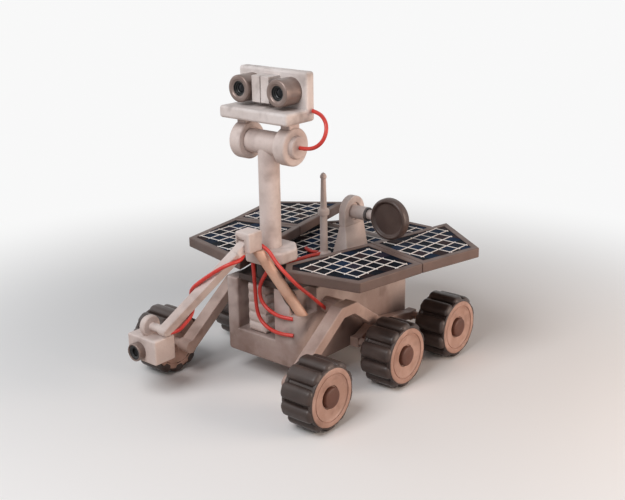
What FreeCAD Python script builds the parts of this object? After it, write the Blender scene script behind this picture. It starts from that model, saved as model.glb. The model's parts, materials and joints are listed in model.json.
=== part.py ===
import FreeCAD, Part
import math
import os

# Planetary rover prototype: six wheels on rockers and bogies, a boxy hull under raised solar
# wings, a camera mast, two antennas and a front instrument arm.
# Millimetres. The front is -Y, the right side is +X, up is +Z. The origin is on the floor,
# midway along the length and on the middle plane.

V = FreeCAD.Vector
ORIGIN = V(0, 0, 0)
AXIS_X = V(1, 0, 0)
AXIS_Z = V(0, 0, 1)

# General clearances
cut_over = 5.0            # how far a cutting tool runs past the face it opens
pivot_gap = 0.3           # gap between a turning face and what it turns on
seat_gap = 0.3            # gap between pieces that are fastened but not fused
soft_edge = 6.0           # general rounding of moulded edges
fine_edge = 3.0           # rounding of small pieces

# Wheels
wheel_radius = 162.0      # to the lug tips
wheel_width = 172.0       # between the two disc faces
disc_radius = 136.0
disc_dish_depth = 10.0    # the dished middle behind the rim's face
disc_step_depth = 5.0     # the thin step inside the rim
disc_step_run = 9.0
disc_rim_width = 26.0
disc_rim_edge = 4.0
cap_radius = 50.0
cap_height = 6.0
cap_dome = 2.0
cap_margin = 8.0
lug_count = 10
tread_half = 82.0         # the lugs reach this far to each side
tread_shoulder = 18.0     # rounding of the lugs' ends
tyre_core_radius = 144.0  # the tyre between its lugs
tyre_core_half = 80.0
tyre_bead_half = 84.0
groove_floor_width = 6.0
groove_mouth_width = 18.0
front_axle_y = -513.0
middle_axle_y = 50.0
rear_axle_y = 500.0
stub_radius = 20.0
stub_bore_depth = 60.0

# Hull
hull_half_width = 232.0
hull_front_y = -338.0
hull_rear_y = 530.0
hull_bottom_z = 120.0
hull_top_z = 500.0
hull_corner = 60.0        # rounding of the front right corner
hull_side_corner = 24.0   # rounding of the other three corners
hull_lower_edge = 16.0
post_edge = 10.0          # rounding of the posts beside the recess
recess_left_x = -155.0
recess_right_x = 80.0
recess_sill_z = 244.0
recess_depth = 120.0
recess_corner = 14.0
shoulder_left_x = 178.0   # the shoulder cut into the front right corner carries the arm's strut
shoulder_back_y = -205.0
shoulder_z = 388.0

# Ribbed equipment block in the front recess
block_left_x = -99.0
block_right_x = 5.0
block_front_inset = 24.0
block_rib_count = 5
block_rib_depth = 9.0
block_rib_edge = 15.0
block_top_gap = 8.0

# Centre deck and rear panel
deck_thickness = 30.0
deck_front_y = -330.0
deck_seam_y = 543.0
deck_front_half = 150.0
deck_relief_front_x = 104.0   # the deck's front right corner is cut off to pass the strut
deck_relief_rear_y = -284.0
deck_seam_half = 400.0
deck_rear_half = 156.0
deck_rear_y = 866.0
panel_frame_width = 26.0
panel_edge = 5.0
panel_seam_gap = 2.0      # groove between a front and a rear wing panel
deck_seam_gap = 0.6       # groove between the centre deck and the rear panel that it carries
cell_recess = 7.0
cell_thickness = 4.0
deck_cells_front_y = -120.0
pad_margin = 8.0          # flat ground left round each foot that stands among the cells

# Raised solar wings, corners of the right wing (the left one mirrors it)
wing_bottom_z = 567.0
wing_thickness = 49.0
wing_front_inner_x = 89.0
wing_front_inner_y = -380.0
wing_front_outer_x = 544.0
wing_front_outer_y = -278.0
wing_seam_outer_x = 608.0
wing_seam_outer_y = 111.0
wing_rear_outer_x = 691.0
wing_rear_outer_y = 471.0
wing_rear_inner_x = 337.0
wing_rear_inner_y = 727.0
wing_seam_inner_x = 226.0
wing_seam_inner_y = 210.0
wing_rail_width = 30.0
wing_rail_length = 300.0
wing_relief_front_x = 177.0   # the right wing's front inner corner is cut off to pass the strut
wing_relief_rear_y = -280.0

# Camera mast
mast_y = -257.0
mast_base_radius = 131.0
mast_base_height = 59.0
mast_base_edge = 12.0     # rounding of the octagon's upright corners
mast_foot_radius = 70.0
collar_edge = 10.0
mast_post_radius = 50.0
mast_top_z = 1168.0
mast_tube_radius = 55.0
mast_tube_half = 150.0
collar_radius = 88.0
collar_inner_x = 100.0
collar_outer_x = 167.0
cap_step_radius = 52.0
cap_step_length = 22.0
cap_step_edge = 9.0

# Camera head
head_half_width = 205.0
shelf_front_y = -362.0
shelf_rise = 110.0        # the shelf's underside above the mast tube's axis
shelf_thickness = 56.0
plate_front_y = -223.0
plate_rear_y = -168.0
plate_rise = 165.0        # the plate's top above the shelf
head_edge = 13.0
ear_half_depth = 34.0
camera_x = 116.0
camera_rise = 77.0        # the barrels' axes above the shelf
camera_radius = 62.0
camera_front_y = -323.0
camera_lens_radius = 34.0
camera_lens_recess = 20.0
camera_lens_thickness = 5.0
camera_lip = 3.5          # chamfer round the mouth of the bore
sensor_box_width = 49.0
sensor_box_gap = 5.0
sensor_box_front_y = -303.0
sensor_box_drop = 23.0    # the boxes' tops below the plate's top
sensor_box_rise = 22.0    # the boxes are fixed to the plate, clear of the shelf

# Rod antenna
rod_dish_gap = 40.0       # the rod antenna's axis in front of the dish antenna's foot
rod_x = 0.0
rod_base_radius = 36.0
rod_base_height = 14.0
rod_lower_radius = 18.0
rod_collar_z = 752.0
rod_collar_radius = 30.0
rod_collar_height = 36.0
rod_collar_edge = 11.0
rod_fillet = 5.0          # where the rod rises from its base
rod_upper_radius = 11.0
rod_tip_radius = 7.0
rod_top_z = 938.0
rod_ball_radius = 16.0
rod_point_radius = 5.0

# Dish antenna
dish_axis_y = 259.0
dish_axis_z = 742.0
dish_ring_radius = 79.0
dish_ring_left_x = 56.0
dish_ring_right_x = 97.0
dish_foot_base_depth = 176.0
dish_foot_top_depth = 100.0
dish_foot_left_x = 22.0
dish_foot_right_x = 116.0
dish_shaft_radius = 34.0
dish_shaft_end_x = 186.0
dish_neck_radius = 24.0
dish_centre_x = 313.0
dish_radius = 104.0
dish_depth = 54.0
dish_rim_width = 22.0
dish_hollow = 12.0
dish_rim_edge = 12.0
dish_hollow_edge = 5.0
dish_stand_edge = 7.0
dish_eye_radius = 46.0    # shallow eye round the shaft in the ring's face
dish_eye_depth = 12.0
dish_collar_length = 16.0
dish_collar_rise = 2.5

# Rockers and bogies
bogie_hull_gap = 16.0     # free room between the hull's side and the bogie
bogie_width = 50.0
rocker_bogie_gap = 8.0
rocker_width = 68.0
wheel_leg_gap = 30.0      # free room between the rocker and the wheel
knuckle_share = 1.2       # a knuckle's radius as a share of half the leg's thickness
rocker_thickness = 54.0
rocker_apex_front_y = -190.0
rocker_apex_rear_y = -79.0
rocker_apex_z = 428.0
rocker_pivot_radius = 40.0
leg_edge = 5.0            # rounding of the rockers and bogies
bogie_pivot_y = 180.0
bogie_pivot_z = 214.0
bogie_pivot_radius = 24.0
bogie_thickness = 42.0
axle_box_size = 50.0

# Instrument arm
elbow_left_x = -16.0
elbow_size = 88.0
elbow_front_y = -479.0
elbow_bottom_z = 704.0
elbow_height = 95.0
elbow_edge = 8.0
elbow_slot_left = 12.0
elbow_slot_width = 46.0
elbow_slot_depth = 56.0
elbow_roof = 34.0
elbow_pin_radius = 8.0
elbow_pin_inset = 28.0
elbow_pin_rise = 31.0
tongue_radius = 22.0
tongue_gap = 1.0
strut_radius = 25.0
strut_clearance = 6.0     # free room round the strut where it passes the hull's post
strut_foot_x = 209.0
strut_foot_y = -286.0
strut_top_x = 58.0
strut_top_y = -410.0
forearm_width = 48.0
forearm_edge = 6.0
forearm_root_y = -512.0
forearm_root_z = 700.0
forearm_overrun = 7.0     # the bar's square end reaches past its root towards the elbow block
wrist_x = -200.0
wrist_y = -767.0
wrist_z = 358.0
wrist_boss_radius = 25.0
wrist_boss_reach = 20.0   # how far the boss reaches to the right of the wrist
wrist_pin_radius = 20.0
wrist_disc_x = -302.0
wrist_disc_width = 30.0
wrist_disc_radius = 52.0
wrist_disc_edge = 9.0
wrist_knob_radius = 22.0
wrist_knob_length = 34.0
instrument_left_x = -392.0
instrument_width = 188.0
instrument_front_y = -830.0
instrument_depth = 124.0
instrument_bottom_z = 200.0
instrument_height = 120.0
instrument_edge = 9.0
instrument_tab = 20.0
instrument_tab_upper = 30.0
instrument_tab_set_back = 41.0
lens_x = -312.0
lens_z = 252.0
lens_radius = 43.0
lens_length = 36.0
lens_bore_radius = 24.0
lens_bore_depth = 14.0
lens_ring_radius = 35.0
lens_ring_depth = 4.0

# Cables
cable_diameter = 18.0
cable_arc_share = 0.45
# from the end of the right collar's cap, on the mast tube's axis
head_cable_route = [(0, 0, 0), (43, 0, 0), (87, 5, 12), (119, 14, 40), (132, 26, 80), (119, 42, 118),
                    (83, 58, 144), (42, 70, 154), (4, 75, 158)]
# X from the middle plane, Y from the hull's front face, Z from the deck's top
recess_long_route = [(-19, -26, 86), (-15, -25, 22), (-12, -24, -46), (-10, -23, -114), (3, -23, -178),
                     (46, -23, -216), (100, -22, -231), (156, -17, -234), (198, 3, -235)]
recess_short_route = [(58, 14, 86), (44, 4, 48), (26, -12, 11), (13, -22, -36), (21, -23, -90),
                      (55, -23, -122), (101, -22, -141), (154, -17, -150), (196, 3, -153)]
# the first part from the elbow block's middle, the second with X from the hull's side
side_upper_route = [(22, 46, -25), (64, 62, -50), (108, 49, -83), (150, 43, -111), (196, 51, -150)]
side_lower_route = [(22, -349, 551), (30, -278, 489), (24, -212, 431), (20, -156, 384)]
# from the foot of the rod antenna
deck_cable_route = [(-38, -335, 11), (-50, -281, 10), (-50, -225, 10), (-38, -173, 8), (-32, -125, 7),
                    (-22, -83, 10), (-8, -53, 10), (-5, -27, 10)]
deck_lead_route = [(-22, -17, 10), (-58, -25, 10), (-92, -15, 9), (-130, 14, 3)]
# from the elbow's pin
arm_cable_route = [(7, -15, -34), (20, -38, -50), (28, -73, -56), (16, -116, -59), (-27, -151, -87),
                   (-79, -182, -129), (-129, -202, -171), (-159, -201, -205), (-168, -187, -248),
                   (-156, -192, -288), (-142, -221, -316), (-156, -248, -349), (-179, -276, -385),
                   (-211, -310, -391)]

# Worked out once from the sizes above
bogie_inner_x = hull_half_width + bogie_hull_gap
bogie_outer_x = bogie_inner_x + bogie_width
rocker_inner_x = bogie_outer_x + rocker_bogie_gap
rocker_outer_x = rocker_inner_x + rocker_width
wheel_inner_x = rocker_outer_x + wheel_leg_gap
wheel_x = wheel_inner_x + wheel_width / 2
wing_top_z = wing_bottom_z + wing_thickness
deck_top_z = hull_top_z + deck_thickness
mast_base_top_z = wing_top_z + mast_base_height
shelf_bottom_z = mast_top_z + shelf_rise
shelf_top_z = shelf_bottom_z + shelf_thickness
plate_top_z = shelf_top_z + plate_rise
camera_z = shelf_top_z + camera_rise
rod_y = dish_axis_y - dish_foot_base_depth / 2 - rod_dish_gap
elbow_pin_x = elbow_left_x + elbow_slot_left + elbow_slot_width / 2
elbow_pin_y = elbow_front_y + elbow_pin_inset
elbow_pin_z = elbow_bottom_z + elbow_pin_rise
axle_ys = [("front", front_axle_y), ("middle", middle_axle_y), ("rear", rear_axle_y)]
sides = [("right", 1), ("left", -1)]


def block(x0, x1, y0, y1, z0, z1):
    return Part.makeBox(x1 - x0, y1 - y0, z1 - z0, V(x0, y0, z0))


def roundedBlock(x0, x1, y0, y1, z0, z1, radius):
    solid = block(x0, x1, y0, y1, z0, z1)
    return solid.makeFillet(radius, solid.Edges)


def rod(start, end, radius):
    axis = end - start
    return Part.makeCylinder(radius, axis.Length, start, axis)


def softRod(start, end, radius, edge):
    solid = rod(start, end, radius)
    rims = [e for e in solid.Edges if isinstance(e.Curve, Part.Circle)]
    return solid.makeFillet(edge, rims)


def prism(points, z0, z1):
    loop = [V(x, y, z0) for x, y in points]
    face = Part.Face(Part.makePolygon(loop + loop[:1]))
    return face.extrude(V(0, 0, z1 - z0))


def sidePrism(points, x0, x1):
    loop = [V(x0, y, z) for y, z in points]
    face = Part.Face(Part.makePolygon(loop + loop[:1]))
    return face.extrude(V(x1 - x0, 0, 0))


def mirrored(shape):
    return shape.mirror(ORIGIN, AXIS_X)


def insetOutline(points, inset):
    wire = Part.makePolygon([V(x, y, 0) for x, y in points + points[:1]])
    inner = wire.makeOffset2D(-inset, 2)
    if Part.Face(inner).Area > Part.Face(wire).Area:
        inner = wire.makeOffset2D(inset, 2)
    return [(v.Point.x, v.Point.y) for v in inner.OrderedVertexes]


def writeStep(name, *solids):
    shape = solids[0] if len(solids) == 1 else Part.makeCompound(list(solids))
    shape.exportStep(os.path.join("parts", name + ".step"))
    print(name, "solids", len(shape.Solids), "volume", round(shape.Volume), "valid", shape.isValid())
    written[name] = shape


def revolved(edges, centre):
    return Part.Face(Part.Wire(edges)).revolve(centre, AXIS_X, 360)


def turned(points, centre):
    # points are (radius, offset along X)
    loop = [V(centre.x + x, centre.y + r, centre.z) for r, x in points]
    return Part.Face(Part.makePolygon(loop + loop[:1])).revolve(centre, AXIS_X, 360)


def lineOf(*points):
    return [Part.LineSegment(a, b).toShape() for a, b in zip(points, points[1:])]


def cornerArc(start, corner, end):
    # a quarter round from start to end that bulges towards the corner
    middle = (start + end) / 2 + (corner - (start + end) / 2) * (math.sqrt(2) - 1)
    return Part.Arc(start, middle, end).toShape()


def makeTyre(centre):
    def at(radius, offset):
        return centre + V(offset, radius, 0)

    inner = disc_radius + seat_gap
    core = turned([(inner, -tyre_bead_half), (inner, tyre_bead_half), (inner + fine_edge, tyre_bead_half),
                   (tyre_core_radius, tyre_core_half), (tyre_core_radius, -tyre_core_half),
                   (inner + fine_edge, -tyre_bead_half)], centre)
    flat = tread_half - tread_shoulder
    lug_root = tyre_core_radius - fine_edge
    shoulder = wheel_radius - tread_shoulder
    edges = lineOf(at(shoulder, tread_half), at(lug_root, tread_half), at(lug_root, -tread_half),
                   at(shoulder, -tread_half))
    edges.append(cornerArc(at(shoulder, -tread_half), at(wheel_radius, -tread_half), at(wheel_radius, -flat)))
    edges += lineOf(at(wheel_radius, -flat), at(wheel_radius, flat))
    edges.append(cornerArc(at(wheel_radius, flat), at(wheel_radius, tread_half), at(shoulder, tread_half)))
    tread = revolved(edges, centre)
    # the tread is parted into lugs by flared grooves, with a lug and not a groove on the floor
    floor = groove_floor_width / 2
    mouth = groove_mouth_width / 2
    deep = tyre_core_radius - wheel_radius
    loop = [(centre.y - floor, -tyre_core_radius), (centre.y + floor, -tyre_core_radius),
            (centre.y + mouth * 2 - floor, deep * 2 - tyre_core_radius),
            (centre.y - mouth * 2 + floor, deep * 2 - tyre_core_radius)]
    groove = sidePrism([(y, centre.z + z) for y, z in loop], centre.x - wheel_width, centre.x + wheel_width)
    step = 360 / lug_count
    grooves = []
    for i in range(lug_count):
        cut = groove.copy()
        cut.rotate(centre, AXIS_X, step / 2 + step * i)
        grooves.append(cut)
    return tread.cut(grooves).fuse(core)


def makeDisc(centre, side):
    half = wheel_width / 2
    floor = half - disc_dish_depth
    step = half - disc_step_depth
    inner = disc_radius - disc_rim_width
    face = [(0, floor), (cap_radius + cap_margin, floor), (inner - disc_step_run, step), (inner, half),
            (disc_radius - disc_rim_edge, half), (disc_radius, half - disc_rim_edge)]
    loop = face + [(r, -x) for r, x in face[::-1]]
    disc = turned(loop, centre)
    inboard = centre - V(side * wheel_width, 0, 0)
    bore = rod(inboard, centre - V(side * (half - stub_bore_depth), 0, 0), stub_radius + pivot_gap)
    return disc.cut(bore)


def makeCap(centre, side):
    # a shallow domed cap
    low = wheel_width / 2 - disc_dish_depth
    rim = low + disc_dish_depth + cap_height - cap_dome

    def at(radius, offset):
        return centre + V(side * offset, radius, 0)

    edges = lineOf(at(cap_radius - fine_edge, rim), at(cap_radius, rim - fine_edge), at(cap_radius, low),
                   at(0, low), at(0, rim + cap_dome))
    bulge = at((cap_radius - fine_edge) / 2, rim + cap_dome * 3 / 4)
    edges.append(Part.Arc(at(0, rim + cap_dome), bulge, at(cap_radius - fine_edge, rim)).toShape())
    return revolved(edges, centre)


def makeWheels():
    for side_name, side in sides:
        for axle_name, y in axle_ys:
            centre = V(side * wheel_x, y, wheel_radius)
            writeStep("tyre_%s_%s" % (side_name, axle_name), makeTyre(centre), makeCap(centre, side))
            writeStep("wheel_%s_%s" % (side_name, axle_name), makeDisc(centre, side))


def hullShell():
    hull = block(-hull_half_width, hull_half_width, hull_front_y, hull_rear_y, hull_bottom_z, hull_top_z)
    upright = [e for e in hull.Edges if e.BoundBox.ZLength > hull_corner]
    right = [e for e in upright if e.BoundBox.XMin > 0 and e.BoundBox.YMax < 0]
    others = [e for e in upright if not any(e.isSame(r) for r in right)]
    hull = hull.makeFillet(hull_corner, right)
    edges = [e for e in hull.Edges if any(e.BoundBox.Center.distanceToPoint(o.BoundBox.Center) < soft_edge
                                          for o in others)]
    hull = hull.makeFillet(hull_side_corner, edges)
    low = [e for e in hull.Edges if e.BoundBox.ZMax < hull_bottom_z + soft_edge]
    return hull.makeFillet(hull_lower_edge, low)


def strutEnds():
    return V(strut_foot_x, strut_foot_y, shoulder_z), V(strut_top_x, strut_top_y, elbow_bottom_z)


def hullShoulder():
    cut = block(shoulder_left_x, hull_half_width + cut_over, hull_front_y - cut_over, shoulder_back_y,
                shoulder_z, hull_top_z + cut_over)
    inner = [e for e in cut.Edges if e.BoundBox.XMax < shoulder_left_x + fine_edge
             and e.BoundBox.YMin > shoulder_back_y - fine_edge and e.BoundBox.ZLength > soft_edge]
    cut = cut.makeFillet(recess_corner, inner)
    foot, top = strutEnds()
    reach = (top - foot).normalize() * strut_radius
    groove = rod(foot - reach, top, strut_radius + strut_clearance)
    above = block(-hull_half_width, hull_half_width + hull_corner, hull_front_y - hull_corner, hull_rear_y,
                  shoulder_z, elbow_bottom_z)
    return cut.fuse(groove.common(above))


def makeHull():
    hull = hullShell()
    recess_back = hull_front_y + recess_depth
    recess = block(recess_left_x, recess_right_x, hull_front_y - cut_over, recess_back,
                   recess_sill_z, hull_top_z + cut_over)
    walls = [e for e in recess.Edges if abs(e.BoundBox.YMin - recess_back) < soft_edge
             and e.BoundBox.ZLength > soft_edge]
    recess = recess.makeFillet(recess_corner, walls)
    hull = hull.cut(recess)
    rims = [e for e in hull.Edges if abs(e.BoundBox.YMax - hull_front_y) < fine_edge
            and e.BoundBox.YLength < fine_edge and e.BoundBox.ZMin > recess_sill_z - fine_edge]
    hull = hull.makeFillet(post_edge, rims)
    return hull.cut(hullShoulder())


def makeEquipmentBlock():
    front = hull_front_y + block_front_inset
    back = hull_front_y + recess_depth - seat_gap
    bottom = recess_sill_z + seat_gap
    top = hull_top_z - block_top_gap
    pitch = (top - bottom) / block_rib_count
    core = block(block_left_x, block_right_x, front, back, bottom, top)
    # each rib is a soft cushion that stands proud in front and at both sides
    ribs = []
    for i in range(block_rib_count):
        ribs.append(roundedBlock(block_left_x - block_rib_depth, block_right_x + block_rib_depth,
                                 front - block_rib_depth, back, bottom + pitch * i, bottom + pitch * (i + 1),
                                 block_rib_edge))
    return core.multiFuse(ribs)


def framedPanel(outline, z0, z1, frame_width):
    # a slab with a shallow pocket that holds the solar cells
    slab = prism(outline, z0, z1)
    slab = slab.makeFillet(panel_edge, slab.Edges)
    pocket = prism(insetOutline(outline, frame_width), z1 - cell_recess, z1 + cut_over)
    return slab.cut(pocket)


def cellSheet(outline, z1, frame_width):
    floor = z1 - cell_recess
    return prism(insetOutline(outline, frame_width + seat_gap), floor, floor + cell_thickness)


def along(start, end, share):
    return (start[0] + (end[0] - start[0]) * share, start[1] + (end[1] - start[1]) * share)


def wingOutlines(side):
    seam_outer = (wing_seam_outer_x, wing_seam_outer_y - panel_seam_gap / 2)
    seam_inner = (wing_seam_inner_x, wing_seam_inner_y - panel_seam_gap / 2)
    front_inner = (wing_front_inner_x, wing_front_inner_y)
    front_outer = (wing_front_outer_x, wing_front_outer_y)
    front = [front_inner, front_outer, seam_outer, seam_inner]
    if side > 0:
        # the right wing's front inner corner is cut off where the strut passes
        front_share = (wing_relief_front_x - wing_front_inner_x) / (wing_front_outer_x - wing_front_inner_x)
        rear_share = (wing_relief_rear_y - wing_front_inner_y) / (seam_inner[1] - wing_front_inner_y)
        front = [along(front_inner, seam_inner, rear_share), along(front_inner, front_outer, front_share),
                 front_outer, seam_outer, seam_inner]
    rear = [(wing_seam_inner_x, wing_seam_inner_y + panel_seam_gap / 2),
            (wing_seam_outer_x, wing_seam_outer_y + panel_seam_gap / 2),
            (wing_rear_outer_x, wing_rear_outer_y), (wing_rear_inner_x, wing_rear_inner_y)]
    return front, rear


def deckOutlines():
    before_seam = deck_seam_y - deck_seam_gap / 2
    after_seam = deck_seam_y + deck_seam_gap / 2
    main = [(-deck_front_half, deck_front_y), (deck_front_half, deck_front_y),
            (deck_seam_half, before_seam), (-deck_seam_half, before_seam)]
    rear = [(-deck_seam_half, after_seam), (deck_seam_half, after_seam),
            (deck_rear_half, deck_rear_y), (-deck_rear_half, deck_rear_y)]
    return main, rear


def deckPads():
    # flat ground under the rod antenna's base and the dish antenna's foot
    low = hull_top_z
    high = deck_top_z + cut_over * 2
    round_pad = rod(V(rod_x, rod_y, low), V(rod_x, rod_y, high), rod_base_radius + pad_margin)
    half = dish_foot_base_depth / 2 + pad_margin
    square_pad = block(dish_foot_left_x - pad_margin, dish_foot_right_x + pad_margin, dish_axis_y - half,
                       dish_axis_y + half, low, high)
    return round_pad.fuse(square_pad)


def makeDeck():
    main, rear = deckOutlines()
    floor = deck_top_z - cell_recess
    front_share = (deck_cells_front_y - deck_front_y) / (main[2][1] - deck_front_y)
    well = [along(main[0], main[3], front_share), along(main[1], main[2], front_share), main[2], main[3]]
    relief_share = (deck_relief_rear_y - deck_front_y) / (main[2][1] - deck_front_y)
    relief = [(deck_relief_front_x, deck_front_y), along(main[1], main[2], relief_share)]
    cut_corner = main[:1] + relief + main[2:]
    pads = deckPads()
    pocket = prism(insetOutline(well, panel_frame_width), floor, deck_top_z + cut_over).cut(pads)
    cell_field = prism(insetOutline(well, panel_frame_width + seat_gap), floor, floor + cell_thickness)
    writeStep("centre_deck", prism(cut_corner, hull_top_z, deck_top_z).cut(pocket))
    writeStep("rear_panel", framedPanel(rear, hull_top_z, deck_top_z, panel_frame_width))
    cells = [cellSheet(rear, deck_top_z, panel_frame_width), cell_field.cut(pads)]
    for side_name, side in sides:
        front_wing, rear_wing = wingOutlines(side)
        for place, outline in (("front", front_wing), ("rear", rear_wing)):
            panel = framedPanel(outline, wing_bottom_z, wing_top_z, panel_frame_width)
            cell = cellSheet(outline, wing_top_z, panel_frame_width)
            if side < 0:
                panel, cell = mirrored(panel), mirrored(cell)
            writeStep("wing_%s_%s" % (side_name, place), panel)
            cells.append(cell)
    writeStep("solar_cells", *cells)
    rails = []
    for side_name, side in sides:
        for y in (deck_front_y / 2, wing_seam_inner_y + wing_rail_length):
            share = (y - wing_front_inner_y) / (wing_rear_inner_y - wing_front_inner_y)
            x = wing_front_inner_x + (wing_rear_inner_x - wing_front_inner_x) * share
            x = x + wing_rail_width
            low, high = sorted([side * x, side * (x + wing_rail_width)])
            rails.append(block(low, high, y - wing_rail_width, y + wing_rail_width,
                               deck_top_z, wing_bottom_z))
    writeStep("wing_risers", *rails)


def makeMast():
    centre = V(0, mast_y, wing_top_z)
    eighth = math.pi / 4
    turns = [eighth / 2 + eighth * i for i in range(8)]
    corners = [(mast_base_radius * math.cos(t), mast_y + mast_base_radius * math.sin(t)) for t in turns]
    base = prism(corners, wing_top_z, mast_base_top_z)
    upright = [e for e in base.Edges if e.BoundBox.ZLength > mast_base_edge]
    base = base.makeFillet(mast_base_edge, upright)
    rim = [e for e in base.Edges if e.BoundBox.ZMin > mast_base_top_z - soft_edge]
    base = base.makeFillet(soft_edge, rim)
    base = base.fuse(rod(V(0, mast_y, deck_top_z), centre + V(0, 0, soft_edge), mast_foot_radius))
    writeStep("mast_base", base)
    foot = V(0, mast_y, mast_base_top_z + pivot_gap)
    top = V(0, mast_y, mast_top_z)
    aside = V(mast_tube_half, 0, 0)
    post = rod(foot, top, mast_post_radius)
    tube = rod(top - aside, top + aside, mast_tube_radius)
    writeStep("mast_post", post.fuse(tube))


def makeHead():
    shelf = block(-head_half_width, head_half_width, shelf_front_y, plate_rear_y, shelf_bottom_z, shelf_top_z)
    plate = block(-head_half_width, head_half_width, plate_front_y, plate_rear_y, shelf_bottom_z, plate_top_z)
    head = shelf.fuse(plate).removeSplitter()
    outer = [e for e in head.Edges if not (abs(e.BoundBox.ZMax - shelf_top_z) < fine_edge
                                           and abs(e.BoundBox.YMin - plate_front_y) < fine_edge
                                           and e.BoundBox.XLength > head_edge)]
    head = head.makeFillet(head_edge, outer)
    writeStep("head_plate", head)
    collars = []
    for side_name, side in sides:
        inner = V(side * collar_inner_x, mast_y, mast_top_z)
        outer_end = V(side * collar_outer_x, mast_y, mast_top_z)
        ring = softRod(inner, outer_end, collar_radius, collar_edge)
        step_end = V(side * (collar_outer_x + cap_step_length), mast_y, mast_top_z)
        ring = ring.fuse(softRod(inner, step_end, cap_step_radius, cap_step_edge))
        low, high = sorted([side * (collar_inner_x + soft_edge), side * (collar_outer_x - soft_edge)])
        ring = ring.fuse(block(low, high, mast_y - ear_half_depth, mast_y + ear_half_depth, mast_top_z,
                               shelf_bottom_z))
        bore = rod(V(0, mast_y, mast_top_z), V(side * (mast_tube_half + pivot_gap), mast_y, mast_top_z),
                   mast_tube_radius + pivot_gap)
        collars.append(ring.cut(bore))
    writeStep("head_collars", *collars)
    barrels = []
    lenses = []
    for side_name, side in sides:
        back = V(side * camera_x, plate_front_y, camera_z)
        front = V(side * camera_x, camera_front_y, camera_z)
        seat = front + V(0, camera_lens_recess, 0)
        barrel = softRod(back, front, camera_radius, soft_edge)
        lip = Part.makeCone(camera_lens_radius + camera_lip, camera_lens_radius, camera_lip, front,
                            V(0, 1, 0))
        bore = rod(seat, front - V(0, cut_over, 0), camera_lens_radius)
        barrels.append(barrel.cut(bore).cut(lip))
        lenses.append(rod(seat, seat - V(0, camera_lens_thickness, 0), camera_lens_radius - seat_gap))
    writeStep("camera_barrels", *barrels)
    writeStep("camera_lenses", *lenses)
    boxes = []
    for side_name, side in sides:
        low, high = sorted([side * sensor_box_gap / 2, side * (sensor_box_gap / 2 + sensor_box_width)])
        boxes.append(roundedBlock(low, high, sensor_box_front_y, plate_front_y, shelf_top_z + sensor_box_rise,
                                  plate_top_z - sensor_box_drop, fine_edge))
    writeStep("sensor_boxes", *boxes)


def makeRodAntenna():
    foot = V(rod_x, rod_y, deck_top_z)
    base = softRod(foot, foot + V(0, 0, rod_base_height), rod_base_radius, fine_edge)
    lower = rod(foot, V(rod_x, rod_y, rod_collar_z), rod_lower_radius)
    stem = base.fuse(lower)
    root = [e for e in stem.Edges if isinstance(e.Curve, Part.Circle)
            and abs(e.Curve.Radius - rod_lower_radius) < fine_edge
            and abs(e.BoundBox.ZMax - deck_top_z - rod_base_height) < fine_edge]
    stem = stem.makeFillet(rod_fillet, root)
    collar_low = V(rod_x, rod_y, rod_collar_z - rod_collar_height / 2)
    collar = softRod(collar_low, collar_low + V(0, 0, rod_collar_height), rod_collar_radius, rod_collar_edge)
    upper = Part.makeCone(rod_upper_radius, rod_tip_radius, rod_top_z - rod_collar_z,
                          V(rod_x, rod_y, rod_collar_z), AXIS_Z)
    # the tip is a bead with a blunt point
    bead_low = V(rod_x, rod_y, rod_top_z - rod_ball_radius / 2)
    bead = softRod(bead_low, V(rod_x, rod_y, rod_top_z + fine_edge), rod_ball_radius, fine_edge)
    point = Part.makeCone(rod_ball_radius - fine_edge, rod_point_radius, rod_ball_radius - fine_edge,
                          V(rod_x, rod_y, rod_top_z + fine_edge), AXIS_Z)
    writeStep("rod_antenna", stem.multiFuse([collar, upper, bead, point]))


def footLoop(left, right, half, z):
    loop = [V(left, dish_axis_y - half, z), V(right, dish_axis_y - half, z),
            V(right, dish_axis_y + half, z), V(left, dish_axis_y + half, z)]
    return Part.makePolygon(loop + loop[:1])


def makeDish():
    axis = V(0, dish_axis_y, dish_axis_z)
    ring_left = axis + V(dish_ring_left_x, 0, 0)
    ring_right = axis + V(dish_ring_right_x, 0, 0)
    ring = softRod(ring_left, ring_right, dish_ring_radius, soft_edge)
    lower = footLoop(dish_foot_left_x, dish_foot_right_x, dish_foot_base_depth / 2, deck_top_z)
    upper = footLoop(dish_ring_left_x, dish_ring_right_x, dish_foot_top_depth / 2, dish_axis_z)
    foot = Part.makeLoft([lower, upper], True, True)
    slopes = [e for e in foot.Edges if e.BoundBox.ZLength > dish_ring_radius]
    eye = rod(ring_right - V(dish_eye_depth, 0, 0), ring_right + V(cut_over, 0, 0), dish_eye_radius)
    stand = foot.makeFillet(dish_stand_edge, slopes).fuse(ring).cut(eye)
    seat = (ring_left + ring_right) / 2
    pocket = rod(seat, ring_right + V(cut_over, 0, 0), dish_shaft_radius + pivot_gap)
    writeStep("dish_foot", stand.cut(pocket))
    rim_x = dish_centre_x - dish_radius
    shaft_end = axis + V(dish_shaft_end_x, 0, 0)
    shaft = rod(seat + V(pivot_gap, 0, 0), shaft_end, dish_shaft_radius)
    collar_start = shaft_end - V(dish_collar_length, 0, 0)
    shaft = shaft.fuse(softRod(collar_start, shaft_end, dish_shaft_radius + dish_collar_rise, fine_edge))
    neck = rod(shaft_end, axis + V(rim_x + soft_edge, 0, 0), dish_neck_radius)
    centre = V(dish_centre_x, dish_axis_y, dish_axis_z)
    front = centre - V(0, dish_depth / 2, 0)
    back = centre + V(0, dish_depth / 2, 0)
    dish = softRod(front, back, dish_radius, dish_rim_edge)
    hollow = softRod(front - V(0, dish_hollow, 0), front + V(0, dish_hollow, 0),
                     dish_radius - dish_rim_width, dish_hollow_edge)
    writeStep("dish_shaft", shaft.fuse(neck).cut(dish))
    writeStep("dish", dish.cut(hollow))


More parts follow.
